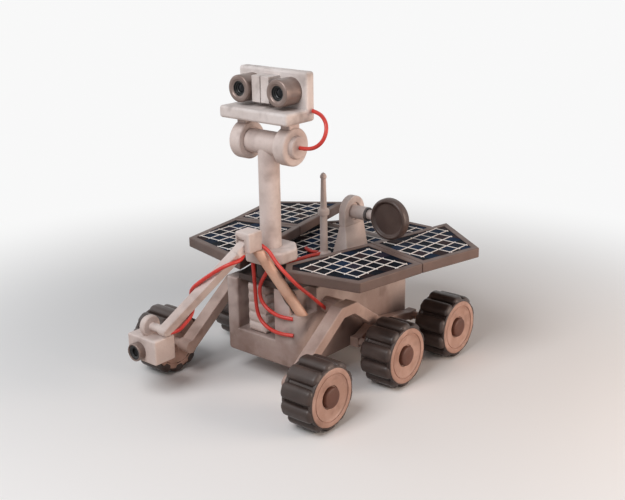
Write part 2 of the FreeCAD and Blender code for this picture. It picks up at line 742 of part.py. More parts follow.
def legOutline(line, thickness):
    # a bent leg seen from the side: its upper line and the same line set down by its thickness
    upper = Part.makePolygon([V(0, y, z) for y, z in line])
    lower = []
    for i, (y, z) in enumerate(line):
        before = line[max(i - 1, 0)]
        after = line[min(i + 1, len(line) - 1)]
        turn_in = V(0, y - before[0], z - before[1])
        turn_out = V(0, after[0] - y, after[1] - z)
        turn_in = turn_out if turn_in.Length < fine_edge else turn_in
        turn_out = turn_in if turn_out.Length < fine_edge else turn_out
        n_in = AXIS_X.cross(turn_in).normalize()
        n_out = AXIS_X.cross(turn_out).normalize()
        bisector = (n_in + n_out).normalize()
        shift = thickness / bisector.dot(n_in)
        lower.append((y - bisector.y * shift, z - bisector.z * shift))
    return list(line) + lower[::-1]


def makeRocker():
    half = rocker_thickness / 2
    line = [(front_axle_y, wheel_radius + half), (rocker_apex_front_y, rocker_apex_z),
            (rocker_apex_rear_y, rocker_apex_z), (bogie_pivot_y, bogie_pivot_z + half)]
    leg = sidePrism(legOutline(line, rocker_thickness), rocker_inner_x, rocker_outer_x)
    leg = leg.makeFillet(leg_edge, leg.Edges)
    apex_y = (rocker_apex_front_y + rocker_apex_rear_y) / 2
    apex_z = rocker_apex_z - half
    knuckle_radius = half * knuckle_share
    stub_end_x = wheel_inner_x + stub_bore_depth - pivot_gap
    pieces = [rod(V(hull_half_width, apex_y, apex_z), V(rocker_inner_x + soft_edge, apex_y, apex_z),
                  rocker_pivot_radius),
              rod(V(rocker_inner_x + half, front_axle_y, wheel_radius),
                  V(stub_end_x, front_axle_y, wheel_radius), stub_radius)]
    for y, z in ((front_axle_y, wheel_radius), (bogie_pivot_y, bogie_pivot_z)):
        pieces.append(softRod(V(rocker_inner_x, y, z), V(rocker_outer_x, y, z), knuckle_radius, fine_edge))
    return leg.multiFuse(pieces)


def makeBogie():
    half = bogie_thickness / 2
    box_half = axle_box_size / 2
    line = [(middle_axle_y, wheel_radius + half), (bogie_pivot_y, bogie_pivot_z + half),
            (rear_axle_y, wheel_radius + half)]
    bar = sidePrism(legOutline(line, bogie_thickness), bogie_inner_x, bogie_outer_x)
    bar = bar.makeFillet(leg_edge, bar.Edges)
    stub_end_x = wheel_inner_x + stub_bore_depth - pivot_gap
    pieces = [rod(V(bogie_inner_x + half, bogie_pivot_y, bogie_pivot_z),
                  V(rocker_inner_x, bogie_pivot_y, bogie_pivot_z), bogie_pivot_radius)]
    for y in (middle_axle_y, rear_axle_y):
        pieces.append(roundedBlock(bogie_inner_x, bogie_outer_x, y - box_half, y + box_half,
                                   wheel_radius - box_half, wheel_radius + box_half, leg_edge))
        pieces.append(rod(V(bogie_inner_x + half, y, wheel_radius), V(stub_end_x, y, wheel_radius),
                          stub_radius))
    return bar.multiFuse(pieces)


def makeSuspension():
    rocker = makeRocker()
    bogie = makeBogie()
    writeStep("rocker_right", rocker)
    writeStep("bogie_right", bogie)
    writeStep("rocker_left", mirrored(rocker))
    writeStep("bogie_left", mirrored(bogie))


def squareBar(start, end, width):
    # the bar's upper and lower faces are parallel to the elbow's axis
    direction = (end - start).normalize()
    upward = direction.cross(AXIS_X).normalize()
    across = direction.cross(upward).normalize()
    h = width / 2
    corners = [start + across * h + upward * h, start - across * h + upward * h,
               start - across * h - upward * h, start + across * h - upward * h]
    bar = Part.Face(Part.makePolygon(corners + corners[:1])).extrude(end - start)
    return bar.makeFillet(forearm_edge, [e for e in bar.Edges if e.Length > width * 2])


def makeElbow():
    right = elbow_left_x + elbow_size
    top = elbow_bottom_z + elbow_height
    elbow = roundedBlock(elbow_left_x, right, elbow_front_y, elbow_front_y + elbow_size,
                         elbow_bottom_z, top, elbow_edge)
    slot_x = elbow_left_x + elbow_slot_left
    slot = block(slot_x, slot_x + elbow_slot_width, elbow_front_y - cut_over,
                 elbow_front_y + elbow_slot_depth, elbow_bottom_z - cut_over, top - elbow_roof)
    cross = rod(V(elbow_left_x + soft_edge, elbow_pin_y, elbow_pin_z),
                V(right - soft_edge, elbow_pin_y, elbow_pin_z), elbow_pin_radius)
    writeStep("elbow_block", elbow.cut(slot).fuse(cross))


def makeStrut():
    foot, head = strutEnds()
    overrun = (head - foot).normalize() * strut_radius
    strut = rod(foot - overrun, head + overrun, strut_radius)
    reach = strut_radius * 2
    level = block(strut_top_x - reach, strut_foot_x + reach, strut_top_y - reach, strut_foot_y + reach,
                  shoulder_z, elbow_bottom_z)
    writeStep("arm_strut", strut.common(level))


def makeForearm():
    pin = V(elbow_pin_x, elbow_pin_y, elbow_pin_z)
    tongue_half = elbow_slot_width / 2 - tongue_gap
    aside = V(tongue_half, 0, 0)
    root = V(elbow_pin_x, forearm_root_y, forearm_root_z)
    tongue = rod(pin - aside, pin + aside, tongue_radius)
    lift = AXIS_X.cross((root - pin).normalize()).normalize() * tongue_radius
    loop = [pin + lift - aside, root + lift - aside, root - lift - aside, pin - lift - aside]
    neck = Part.Face(Part.makePolygon(loop + loop[:1])).extrude(aside * 2)
    wrist = V(wrist_x, wrist_y, wrist_z)
    overrun = (root - wrist).normalize() * forearm_overrun
    bar = squareBar(root + overrun, wrist, forearm_width)
    boss = rod(wrist + V(wrist_boss_reach, 0, 0), wrist - V(forearm_width / 2, 0, 0), wrist_boss_radius)
    pin_end = V(wrist_disc_x - wrist_disc_width / 2 + fine_edge, wrist_y, wrist_z)
    forearm = tongue.multiFuse([neck, bar, boss, rod(wrist, pin_end, wrist_pin_radius)])
    over = aside + V(cut_over, 0, 0)
    writeStep("forearm", forearm.cut(rod(pin - over, pin + over, elbow_pin_radius + pivot_gap)))


def makeWrist():
    centre = V(wrist_disc_x, wrist_y, wrist_z)
    half = V(wrist_disc_width / 2, 0, 0)
    disc = softRod(centre - half, centre + half, wrist_disc_radius, wrist_disc_edge)
    knob = softRod(centre, centre - half - V(wrist_knob_length, 0, 0), wrist_knob_radius, fine_edge)
    bore_end = centre - half + V(fine_edge - pivot_gap, 0, 0)
    bore = rod(centre + half * 2, bore_end, wrist_pin_radius + pivot_gap)
    box_top = instrument_bottom_z + instrument_height
    box = roundedBlock(instrument_left_x, instrument_left_x + instrument_width, instrument_front_y,
                       instrument_front_y + instrument_depth, instrument_bottom_z, box_top, instrument_edge)
    tab_y = instrument_front_y + instrument_tab_set_back
    tab_z = box_top - instrument_height / 2
    tab = roundedBlock(instrument_left_x - instrument_tab, instrument_left_x + instrument_edge,
                       tab_y - instrument_tab, tab_y + instrument_tab, tab_z - instrument_tab,
                       tab_z + instrument_tab_upper, fine_edge)
    writeStep("wrist_disc", disc.fuse(knob).cut(bore).cut(box))
    writeStep("instrument_box", box.fuse(tab))
    lens_back = V(lens_x, instrument_front_y, lens_z)
    lens_front = lens_back - V(0, lens_length, 0)
    lens = softRod(lens_back, lens_front, lens_radius, fine_edge)
    mouth = lens_front - V(0, cut_over, 0)
    ring = rod(mouth, lens_front + V(0, lens_ring_depth, 0), lens_ring_radius)
    bore = rod(mouth, lens_front + V(0, lens_bore_depth, 0), lens_bore_radius)
    writeStep("instrument_lens", lens.cut(ring).cut(bore))


def cordTube(name, points, diameter, held_by):
    # straight runs joined by tangent arcs, each as large as its two runs allow
    edges = []
    start = points[0]
    radii = []
    for i in range(1, len(points) - 1):
        here = points[i]
        back = points[i - 1] - here
        ahead = points[i + 1] - here
        turn = math.pi - back.getAngle(ahead)
        reach = cable_arc_share * min(back.Length, ahead.Length)
        radius = reach / math.tan(turn / 2)
        radii.append(radius)
        to_back = back.normalize()
        to_ahead = ahead.normalize()
        tangent_in = here + to_back * reach
        tangent_out = here + to_ahead * reach
        inward = (to_back + to_ahead).normalize()
        centre = here + inward * (radius / math.cos(turn / 2))
        middle = centre - inward * radius
        edges.append(Part.LineSegment(start, tangent_in).toShape())
        edges.append(Part.Arc(tangent_in, middle, tangent_out).toShape())
        start = tangent_out
    edges.append(Part.LineSegment(start, points[-1]).toShape())
    path = Part.Wire(edges)
    ring = Part.Wire(Part.makeCircle(diameter / 2, points[0], points[1] - points[0]))
    tube = path.makePipeShell([ring], True, False)
    section = math.pi * diameter ** 2 / 4
    print(name, "length", round(path.Length), "volume share", round(tube.Volume / (section * path.Length), 4),
          "radii", [round(r) for r in radii])
    # the ends are cut flush with what they plug into
    for piece in held_by:
        tube = tube.cut(piece)
    writeStep(name, tube)


def placed(anchor, route):
    return [anchor + V(*p) for p in route]


def makeCables(parts):
    cap = V(collar_outer_x + cap_step_length, mast_y, mast_top_z)
    cordTube("head_cable", placed(cap, head_cable_route), cable_diameter, [parts["head_plate"]])
    recess = V(0, hull_front_y, deck_top_z)
    for name, route in (("recess_cable_long", recess_long_route), ("recess_cable_short", recess_short_route)):
        cordTube(name, placed(recess, route), cable_diameter, [parts["hull"], parts["mast_base"]])
    elbow_half = elbow_size / 2
    elbow = V(elbow_left_x + elbow_half, elbow_front_y + elbow_half, elbow_bottom_z + elbow_height / 2)
    side = placed(elbow, side_upper_route) + placed(V(hull_half_width, 0, 0), side_lower_route)
    cordTube("side_cable", side, cable_diameter, [parts["elbow_block"], parts["rocker_right"]])
    rod_foot = V(rod_x, rod_y, deck_top_z)
    cordTube("deck_cable", placed(rod_foot, deck_cable_route), cable_diameter,
             [parts["mast_base"], parts["rod_antenna"]])
    cordTube("deck_lead", placed(rod_foot, deck_lead_route), cable_diameter,
             [parts["rod_antenna"], parts["centre_deck"], parts["solar_cells"]])
    pin = V(elbow_pin_x, elbow_pin_y, elbow_pin_z)
    cordTube("arm_cable", placed(pin, arm_cable_route), cable_diameter, [parts["forearm"]])


os.makedirs("parts", exist_ok=True)
written = {}
writeStep("hull", makeHull())
writeStep("equipment_block", makeEquipmentBlock())
makeDeck()
makeMast()
makeHead()
makeRodAntenna()
makeDish()
makeSuspension()
makeWheels()
makeElbow()
makeStrut()
makeForearm()
makeWrist()
makeCables(written)
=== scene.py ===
import bpy
import bmesh
import json
import math
from mathutils import Matrix, Vector

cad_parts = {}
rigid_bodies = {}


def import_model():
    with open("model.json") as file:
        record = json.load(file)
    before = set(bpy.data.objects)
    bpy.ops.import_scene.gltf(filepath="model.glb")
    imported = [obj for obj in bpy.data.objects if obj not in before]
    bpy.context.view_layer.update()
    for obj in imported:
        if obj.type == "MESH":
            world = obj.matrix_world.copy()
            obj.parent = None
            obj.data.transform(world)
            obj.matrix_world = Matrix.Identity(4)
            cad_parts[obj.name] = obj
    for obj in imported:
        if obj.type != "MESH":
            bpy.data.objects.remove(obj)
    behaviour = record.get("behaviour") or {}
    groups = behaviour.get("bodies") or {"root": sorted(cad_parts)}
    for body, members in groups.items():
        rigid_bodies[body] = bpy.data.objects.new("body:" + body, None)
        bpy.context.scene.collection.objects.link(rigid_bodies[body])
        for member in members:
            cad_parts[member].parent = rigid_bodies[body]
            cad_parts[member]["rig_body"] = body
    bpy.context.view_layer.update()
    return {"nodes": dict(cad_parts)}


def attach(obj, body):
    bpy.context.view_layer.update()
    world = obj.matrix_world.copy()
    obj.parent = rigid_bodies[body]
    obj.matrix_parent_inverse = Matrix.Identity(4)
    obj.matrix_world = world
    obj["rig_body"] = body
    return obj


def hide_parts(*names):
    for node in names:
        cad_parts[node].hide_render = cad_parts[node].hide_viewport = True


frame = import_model()
scene = bpy.context.scene
print("stage 1: frame loaded")

view = {
    "spot": (3.098, -3.592, 2.151),
    "heading": (-0.61607, 0.72273, -0.31324),
    "roll": -0.0134, "lens": 58.6, "sensor": 36.0, "reach": 100.0,
}


def placeCamera():
    data = bpy.data.cameras.new("viewCamera")
    data.lens = view["lens"]
    data.sensor_width = view["sensor"]
    data.clip_end = view["reach"]
    forward = Vector(view["heading"]).normalized()
    flat = forward.cross(Vector((0, 0, 1))).normalized()
    upright = flat.cross(forward)
    roll = view["roll"]
    right = flat * math.cos(roll) + upright * math.sin(roll)
    up = upright * math.cos(roll) - flat * math.sin(roll)
    turn = Matrix((right, up, -forward)).transposed().to_4x4()
    camera = bpy.data.objects.new("viewCamera", data)
    camera.matrix_world = Matrix.Translation(view["spot"]) @ turn
    scene.collection.objects.link(camera)
    scene.camera = camera


studio = {
    "lamps": {
        "keyLight": {"watts": 152.0, "size": 2.6, "spot": (0.4, -3.6, 4.2), "tint": (0.985, 0.985, 1.0)},
        "fillLight": {"watts": 26.0, "size": 3.2, "spot": (-3.8, -2.0, 2.4), "tint": (0.92, 0.96, 1.0)},
        "warmLight": {"watts": 112.0, "size": 2.6, "spot": (4.0, 1.3, 1.3), "tint": (1.0, 0.79, 0.66)},
    },
    "aim": (0.0, 0.0, 0.6),
    "worldLevel": 0.22, "worldTint": (0.95, 0.97, 1.0), "backdrop": 0.94,
    "floorReach": 9.0, "floorSides": 96, "fadeFrom": 1.2, "fadeTo": 3.4,
    "floorSeen": (0.90, 0.89, 0.88), "floorBounce": (0.58, 0.47, 0.41),
}


def feed(tree, value, socket):
    # a number or a colour is typed in, an output is wired up
    if isinstance(value, (int, float, tuple)):
        socket.default_value = value
    else:
        tree.links.new(value, socket)


def mathNode(tree, operation, *values):
    node = tree.nodes.new("ShaderNodeMath")
    node.operation = operation
    for socket, value in zip(node.inputs, values):
        feed(tree, value, socket)
    return node.outputs[0]


def rangeNode(tree, value, fromLow, fromHigh, toLow, toHigh):
    node = tree.nodes.new("ShaderNodeMapRange")
    node.interpolation_type = "SMOOTHSTEP"
    node.inputs["From Min"].default_value = fromLow
    node.inputs["From Max"].default_value = fromHigh
    node.inputs["To Min"].default_value = toLow
    node.inputs["To Max"].default_value = toHigh
    tree.links.new(value, node.inputs["Value"])
    return node.outputs["Result"]


def mixColour(tree, share, first, second):
    node = tree.nodes.new("ShaderNodeMix")
    node.data_type = "RGBA"
    tree.links.new(share, node.inputs["Factor"])
    feed(tree, first, node.inputs["A"])
    feed(tree, second, node.inputs["B"])
    return node.outputs["Result"]


def mixShader(tree, share, first, second):
    node = tree.nodes.new("ShaderNodeMixShader")
    for socket, value in zip(node.inputs, (share, first, second)):
        tree.links.new(value, socket)
    return node.outputs[0]


def seenShare(tree):
    # 1 for rays that show the backdrop: straight to the camera, by a mirror or through glass
    path = tree.nodes.new("ShaderNodeLightPath")
    share = path.outputs["Is Camera Ray"]
    for name in ("Is Glossy Ray", "Is Transmission Ray"):
        share = mathNode(tree, "MAXIMUM", share, path.outputs[name])
    return share


def makeLamp(name, facts):
    data = bpy.data.lights.new(name, "AREA")
    data.energy = facts["watts"]
    data.size = facts["size"]
    data.color = facts["tint"]
    lamp = bpy.data.objects.new(name, data)
    aim = Vector(studio["aim"]) - Vector(facts["spot"])
    turn = aim.to_track_quat("-Z", "Y").to_matrix().to_4x4()
    lamp.matrix_world = Matrix.Translation(facts["spot"]) @ turn
    scene.collection.objects.link(lamp)


def makeBackdrop():
    world = bpy.data.worlds.new("studioWorld")
    world.use_nodes = True
    scene.world = world
    tree = world.node_tree
    tree.nodes.clear()
    light = tree.nodes.new("ShaderNodeBackground")
    light.inputs["Color"].default_value = (*studio["worldTint"], 1.0)
    light.inputs["Strength"].default_value = studio["worldLevel"]
    seen = tree.nodes.new("ShaderNodeBackground")
    seen.inputs["Color"].default_value = (studio["backdrop"],) * 3 + (1.0,)
    out = tree.nodes.new("ShaderNodeOutputWorld")
    tree.links.new(mixShader(tree, seenShare(tree), light.outputs[0], seen.outputs[0]), out.inputs[0])


def floorFinish():
    # keeps the shadow near the rover and fades into the backdrop far away
    material = bpy.data.materials.new("studioFloor")
    material.use_nodes = True
    tree = material.node_tree
    tree.nodes.clear()
    share = seenShare(tree)
    diffuse = tree.nodes.new("ShaderNodeBsdfDiffuse")
    colour = mixColour(tree, share, (*studio["floorBounce"], 1.0), (*studio["floorSeen"], 1.0))
    tree.links.new(colour, diffuse.inputs["Color"])
    glow = tree.nodes.new("ShaderNodeEmission")
    glow.inputs["Color"].default_value = (studio["backdrop"],) * 3 + (1.0,)
    place = tree.nodes.new("ShaderNodeTexCoord")
    far = tree.nodes.new("ShaderNodeVectorMath")
    far.operation = "LENGTH"
    tree.links.new(place.outputs["Object"], far.inputs[0])
    fade = rangeNode(tree, far.outputs["Value"], studio["fadeFrom"], studio["fadeTo"], 0.0, 1.0)
    out = tree.nodes.new("ShaderNodeOutputMaterial")
    both = mathNode(tree, "MULTIPLY", fade, share)
    tree.links.new(mixShader(tree, both, diffuse.outputs[0], glow.outputs[0]), out.inputs[0])
    return material


def makeFloor():
    bm = bmesh.new()
    bmesh.ops.create_circle(bm, cap_ends=True, segments=studio["floorSides"], radius=studio["floorReach"])
    mesh = bpy.data.meshes.new("studioFloor")
    bm.to_mesh(mesh)
    bm.free()
    mesh.materials.append(floorFinish())
    floor = bpy.data.objects.new("studioFloor", mesh)
    scene.collection.objects.link(floor)


scene.view_settings.view_transform = "Standard"
placeCamera()
makeBackdrop()
makeFloor()
for lampName, lampFacts in studio["lamps"].items():
    makeLamp(lampName, lampFacts)
print("stage 2: camera and studio")


clouds = {
    # detail and roughness of a noise, and the two of its values between which it fades in
    "patch": (2.0, 0.50, 0.34, 0.66), "smudge": (2.5, 0.50, 0.48, 0.78), "speckle": (3.0, 0.60, 0.38, 0.78),
    "dust": (6.0, 0.62, 0.36, 0.72), "lowShade": (5.0, 0.60, 0.30, 0.62), "gloss": (4.0, 0.55, 0.30, 0.70),
    "haze": (4.0, 0.55, 0.40, 0.70), "glassGloss": (3.0, 0.55, 0.30, 0.70),
}
paint = {
    # scales are ripples to the metre, or shares of the finish's own scale
    "smudgeScaleShare": 1.8, "glossScaleShare": 3.0, "speckleScale": 90.0, "speckleMost": 0.10,
    # the splash noise breaks up the painted shade near the bottom
    "dustScale": 14.0, "dustLeast": 0.05, "dustSlope": 0.35, "lowShadeScale": 7.0, "lowShadeLeastShare": 0.35,
    "coarse": (46.0, 4.0, 0.60), "fine": (420.0, 2.0, 0.50), "fineShare": 0.35, "grainDepth": 0.002,
    "specular": 0.42,
}
panelGrid = {"pitchX": 0.0667, "pitchY": 0.0688, "offset": (0.213, -0.0085), "deckOffset": (0.0335, 0.170)}
cell = {
    # the brown is a painted reflection of warm surroundings
    "black": (8, 10, 14), "blue": (18, 38, 62), "brownReflection": (58, 40, 35), "flake": (30, 48, 72),
    "blueFrom": (0.30, 0.95), "brownReflectionFrom": (0.66, 0.98), "brownReflectionMost": 0.75, "level": 0.25,
    "crystalScale": 140.0, "crystalFrom": (0.1, 0.9), "flakeMost": 0.16,
    "glossScale": 22.0, "rough": (0.44, 0.58), "specular": 0.02,
    "wave": (30.0, 3.0, 0.55), "waveStrength": 0.06, "waveDepth": 0.002,
}
glass = {
    "black": (8, 8, 11), "haze": (22, 20, 26), "hazeScale": 60.0, "glossScale": 120.0,
    "rough": (0.05, 0.12), "specular": 0.22,
}


def tint(red, green, blue):
    # an 8-bit screen colour as scene light
    steps = []
    for value in (red, green, blue):
        share = value / 255
        steps.append(share / 12.92 if share <= 0.04045 else ((share + 0.055) / 1.055) ** 2.4)
    return (*steps, 1.0)


def noiseNode(tree, coords, scale, detail, roughness):
    node = tree.nodes.new("ShaderNodeTexNoise")
    node.inputs["Scale"].default_value = scale
    node.inputs["Detail"].default_value = detail
    node.inputs["Roughness"].default_value = roughness
    tree.links.new(coords, node.inputs["Vector"])
    return node.outputs["Fac"]


def cloudNode(tree, coords, kind, scale, least=0.0, most=1.0):
    detail, roughness, low, high = clouds[kind]
    return rangeNode(tree, noiseNode(tree, coords, scale, detail, roughness), low, high, least, most)


def heightNode(tree, vector):
    split = tree.nodes.new("ShaderNodeSeparateXYZ")
    tree.links.new(vector, split.inputs[0])
    return split.outputs["Z"]


def bumpNode(tree, height, strength, depth):
    node = tree.nodes.new("ShaderNodeBump")
    node.inputs["Strength"].default_value = strength
    node.inputs["Distance"].default_value = depth
    tree.links.new(height, node.inputs["Height"])
    return node.outputs[0]


def newFinish(name):
    material = bpy.data.materials.new(name)
    material.use_nodes = True
    tree = material.node_tree
    coords = tree.nodes.new("ShaderNodeTexCoord").outputs["Object"]
    return material, tree, tree.nodes["Principled BSDF"], coords


def addDust(tree, coords, colour, dust):
    # fine dust that settles on faces that look up
    normal = tree.nodes.new("ShaderNodeNewGeometry").outputs["Normal"]
    upward = rangeNode(tree, heightNode(tree, normal), paint["dustSlope"], 1.0, 0.0, 1.0)
    thin = cloudNode(tree, coords, "dust", paint["dustScale"], paint["dustLeast"], dust["share"])
    return mixColour(tree, mathNode(tree, "MULTIPLY", upward, thin), colour, tint(*dust["colour"]))


def addLowShade(tree, coords, colour, lowShade):
    # painted shade with a warm painted ground bounce, darkest at the bottom and gone higher up
    level = rangeNode(tree, heightNode(tree, coords), lowShade["low"], lowShade["high"], 1.0, 0.0)
    least = lowShade["share"] * paint["lowShadeLeastShare"]
    cloud = cloudNode(tree, coords, "lowShade", paint["lowShadeScale"], least, lowShade["share"])
    return mixColour(tree, mathNode(tree, "MULTIPLY", level, cloud), colour, tint(*lowShade["colour"]))


def matteFinish(name, base, patch, smudge, scale, smudgeShare=0.35, grain=0.06, rough=(0.42, 0.56),
                metallic=0.0, dust=None, lowShade=None):
    # cloudy paint: broad pale patches, soft dark smudges, a fine grain and uneven gloss
    material, tree, shader, coords = newFinish(name)
    colour = mixColour(tree, cloudNode(tree, coords, "patch", scale), tint(*base), tint(*patch))
    smudges = cloudNode(tree, coords, "smudge", scale * paint["smudgeScaleShare"], most=smudgeShare)
    colour = mixColour(tree, smudges, colour, tint(*smudge))
    speckle = cloudNode(tree, coords, "speckle", paint["speckleScale"], most=paint["speckleMost"])
    colour = mixColour(tree, speckle, colour, tint(*smudge))
    if dust:
        colour = addDust(tree, coords, colour, dust)
    # painted shade near the bottom, when it is given
    if lowShade:
        colour = addLowShade(tree, coords, colour, lowShade)
    tree.links.new(colour, shader.inputs["Base Color"])
    gloss = cloudNode(tree, coords, "gloss", scale * paint["glossScaleShare"], *rough)
    tree.links.new(gloss, shader.inputs["Roughness"])
    shader.inputs["Specular IOR Level"].default_value = paint["specular"]
    shader.inputs["Metallic"].default_value = metallic
    coarse = noiseNode(tree, coords, *paint["coarse"])
    fine = noiseNode(tree, coords, *paint["fine"])
    height = mathNode(tree, "MULTIPLY_ADD", fine, paint["fineShare"], coarse)
    tree.links.new(bumpNode(tree, height, grain, paint["grainDepth"]), shader.inputs["Normal"])
    return material


def cellFinish(name, offset):
    # dark cells, each a shade of its own, some with a painted brown reflection, with a fine crystal in them
    material, tree, shader, coords = newFinish(name)
    pitchX, pitchY = panelGrid["pitchX"], panelGrid["pitchY"]
    shift = tree.nodes.new("ShaderNodeMapping")
    shift.inputs["Location"].default_value = (-offset[0] / pitchX, -offset[1] / pitchY, cell["level"])
    shift.inputs["Scale"].default_value = (1 / pitchX, 1 / pitchY, 0.0)
    tree.links.new(coords, shift.inputs["Vector"])
    whole = tree.nodes.new("ShaderNodeVectorMath")
    whole.operation = "FLOOR"
    tree.links.new(shift.outputs[0], whole.inputs[0])
    shade = tree.nodes.new("ShaderNodeTexWhiteNoise")
    shade.noise_dimensions = "3D"
    tree.links.new(whole.outputs[0], shade.inputs["Vector"])
    parts = tree.nodes.new("ShaderNodeSeparateColor")
    tree.links.new(shade.outputs["Color"], parts.inputs[0])
    blue = rangeNode(tree, parts.outputs[0], *cell["blueFrom"], 0.0, 1.0)
    colour = mixColour(tree, blue, tint(*cell["black"]), tint(*cell["blue"]))
    # a painted brown reflection on some of the cells
    brownReflection = rangeNode(tree, parts.outputs[1], *cell["brownReflectionFrom"], 0.0, cell["brownReflectionMost"])
    colour = mixColour(tree, brownReflection, colour, tint(*cell["brownReflection"]))
    crystal = tree.nodes.new("ShaderNodeTexVoronoi")
    crystal.inputs["Scale"].default_value = cell["crystalScale"]
    tree.links.new(coords, crystal.inputs["Vector"])
    flake = rangeNode(tree, crystal.outputs["Distance"], *cell["crystalFrom"], 0.0, cell["flakeMost"])
    colour = mixColour(tree, flake, colour, tint(*cell["flake"]))
    tree.links.new(colour, shader.inputs["Base Color"])
    gloss = cloudNode(tree, coords, "gloss", cell["glossScale"], *cell["rough"])
    tree.links.new(gloss, shader.inputs["Roughness"])
    shader.inputs["Specular IOR Level"].default_value = cell["specular"]
    waves = bumpNode(tree, noiseNode(tree, coords, *cell["wave"]), cell["waveStrength"], cell["waveDepth"])
    tree.links.new(waves, shader.inputs["Normal"])
    return material


def glassFinish(name):
    material, tree, shader, coords = newFinish(name)
    haze = cloudNode(tree, coords, "haze", glass["hazeScale"])
    colour = mixColour(tree, haze, tint(*glass["black"]), tint(*glass["haze"]))
    tree.links.new(colour, shader.inputs["Base Color"])
    gloss = cloudNode(tree, coords, "glassGloss", glass["glossScale"], *glass["rough"])
    tree.links.new(gloss, shader.inputs["Roughness"])
    shader.inputs["Specular IOR Level"].default_value = glass["specular"]
    return material


# each paint: its colour, its paler patches, its smudges and how many patches fit in a metre
palePaint = matteFinish("palePaint", (204, 187, 180), (219, 205, 199), (138, 118, 110), 5.2, smudgeShare=0.5)
headPaint = matteFinish("headPaint", (208, 197, 192), (223, 214, 210), (132, 119, 113), 7.0, smudgeShare=0.65)
# the hull: the pale paint written darker as painted shade, with more painted shade and a warm painted bounce
# towards its bottom
hullShadedPaint = matteFinish("hullShadedPaint", (164, 145, 138), (190, 174, 168), (104, 86, 79), 6.5, smudgeShare=0.6,
                        lowShade={"low": 0.12, "high": 0.36, "share": 0.5, "colour": (118, 84, 70)})
legPaint = matteFinish("legPaint", (172, 147, 137), (190, 167, 157), (116, 92, 82), 6.0, smudgeShare=0.5)
framePaint = matteFinish("framePaint", (92, 73, 66), (105, 84, 76), (64, 48, 42), 5.0, grain=0.08,
                         dust={"share": 0.25, "colour": (114, 94, 85)})
# a dark brown that stands for shade: painted shade on the centre deck, the wing risers and the mast foot,
# which sit in shadow under the wings and the mast base
deckShadePaint = matteFinish("deckShadePaint", (62, 50, 46), (74, 60, 55), (44, 35, 32), 6.0, smudgeShare=0.5)
discPaint = matteFinish("discPaint", (172, 137, 122), (190, 157, 143), (126, 93, 79), 9.0, smudgeShare=0.5,
                        rough=(0.36, 0.50))
capPaint = matteFinish("capPaint", (84, 49, 36), (97, 60, 46), (60, 36, 27), 9.0)
tyreRubber = matteFinish("tyreRubber", (59, 47, 43), (73, 60, 55), (40, 31, 28), 9.0, grain=0.12,
                         rough=(0.34, 0.46))
metalPaint = matteFinish("metalPaint", (124, 107, 100), (138, 121, 114), (88, 71, 64), 9.0,
                         rough=(0.28, 0.40), metallic=0.45)
dishPaint = matteFinish("dishPaint", (76, 61, 56), (90, 74, 68), (52, 39, 35), 8.0, rough=(0.32, 0.44))
strutPaint = matteFinish("strutPaint", (206, 162, 138), (220, 182, 160), (138, 100, 82), 7.0,
                         rough=(0.32, 0.44))
collarGrey = matteFinish("collarGrey", (78, 72, 71), (92, 86, 84), (56, 50, 48), 9.0, rough=(0.34, 0.46))
cableJacket = matteFinish("cableJacket", (204, 56, 48), (212, 68, 58), (150, 36, 32), 12.0, grain=0.04,
                          rough=(0.30, 0.40))
gridPaint = matteFinish("gridPaint", (238, 228, 221), (245, 238, 233), (196, 180, 171), 9.0, smudgeShare=0.2)
boreBlack = matteFinish("boreBlack", (12, 11, 11), (18, 16, 15), (7, 6, 6), 20.0, rough=(0.30, 0.42))
cellGlass = cellFinish("cellGlass", panelGrid["offset"])
deckCellGlass = cellFinish("deckCellGlass", panelGrid["deckOffset"])
lensGlass = glassFinish("lensGlass")
print("stage 3: finishes")


shaping = {
    # distances in metres, angles in degrees
    "mergeWithin": 0.00002, "cutWithin": 0.00001, "flatWithin": 1.0, "hardFrom": 32.0, "shadeHardFrom": 40.0,
    "normalWeight": 60, "spunSegments": 4,
}


def addPiece(name, bm, body, finish, nodes=(), sharp=38.0, even=True):
    # sharp is the angle in degrees from which an edge is shaded hard
    mesh = bpy.data.meshes.new(name)
    bm.to_mesh(mesh)
    bm.free()
    mesh.polygons.foreach_set("use_smooth", [True] * len(mesh.polygons))
    mesh.set_sharp_from_angle(angle=math.radians(sharp))
    mesh.materials.append(finish)
    piece = bpy.data.objects.new(name, mesh)
    scene.collection.objects.link(piece)
    if even:
        weighted = piece.modifiers.new("evenNormals", "WEIGHTED_NORMAL")
        weighted.keep_sharp = True
        weighted.weight = shaping["normalWeight"]
    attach(piece, body)
    if nodes:
        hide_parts(*nodes)
    return piece


def softenEdges(bm, edges, width, segments=3):
    bmesh.ops.bevel(bm, geom=edges, offset=width, offset_type="OFFSET", segments=segments, profile=0.5,
                    affect="EDGES", clamp_overlap=True, material=-1)


def movedVerts(result):
    return [g for g in result["geom"] if isinstance(g, bmesh.types.BMVert)]


def addBox(bm, low, high, edge=0.0, segments=3):
    made = bmesh.ops.create_cube(bm, size=1.0)["verts"]
    low, high = Vector(low), Vector(high)
    bmesh.ops.scale(bm, vec=high - low, verts=made)
    bmesh.ops.translate(bm, vec=(low + high) / 2, verts=made)
    if edge:
        softenEdges(bm, list({e for v in made for e in v.link_edges}), edge, segments)


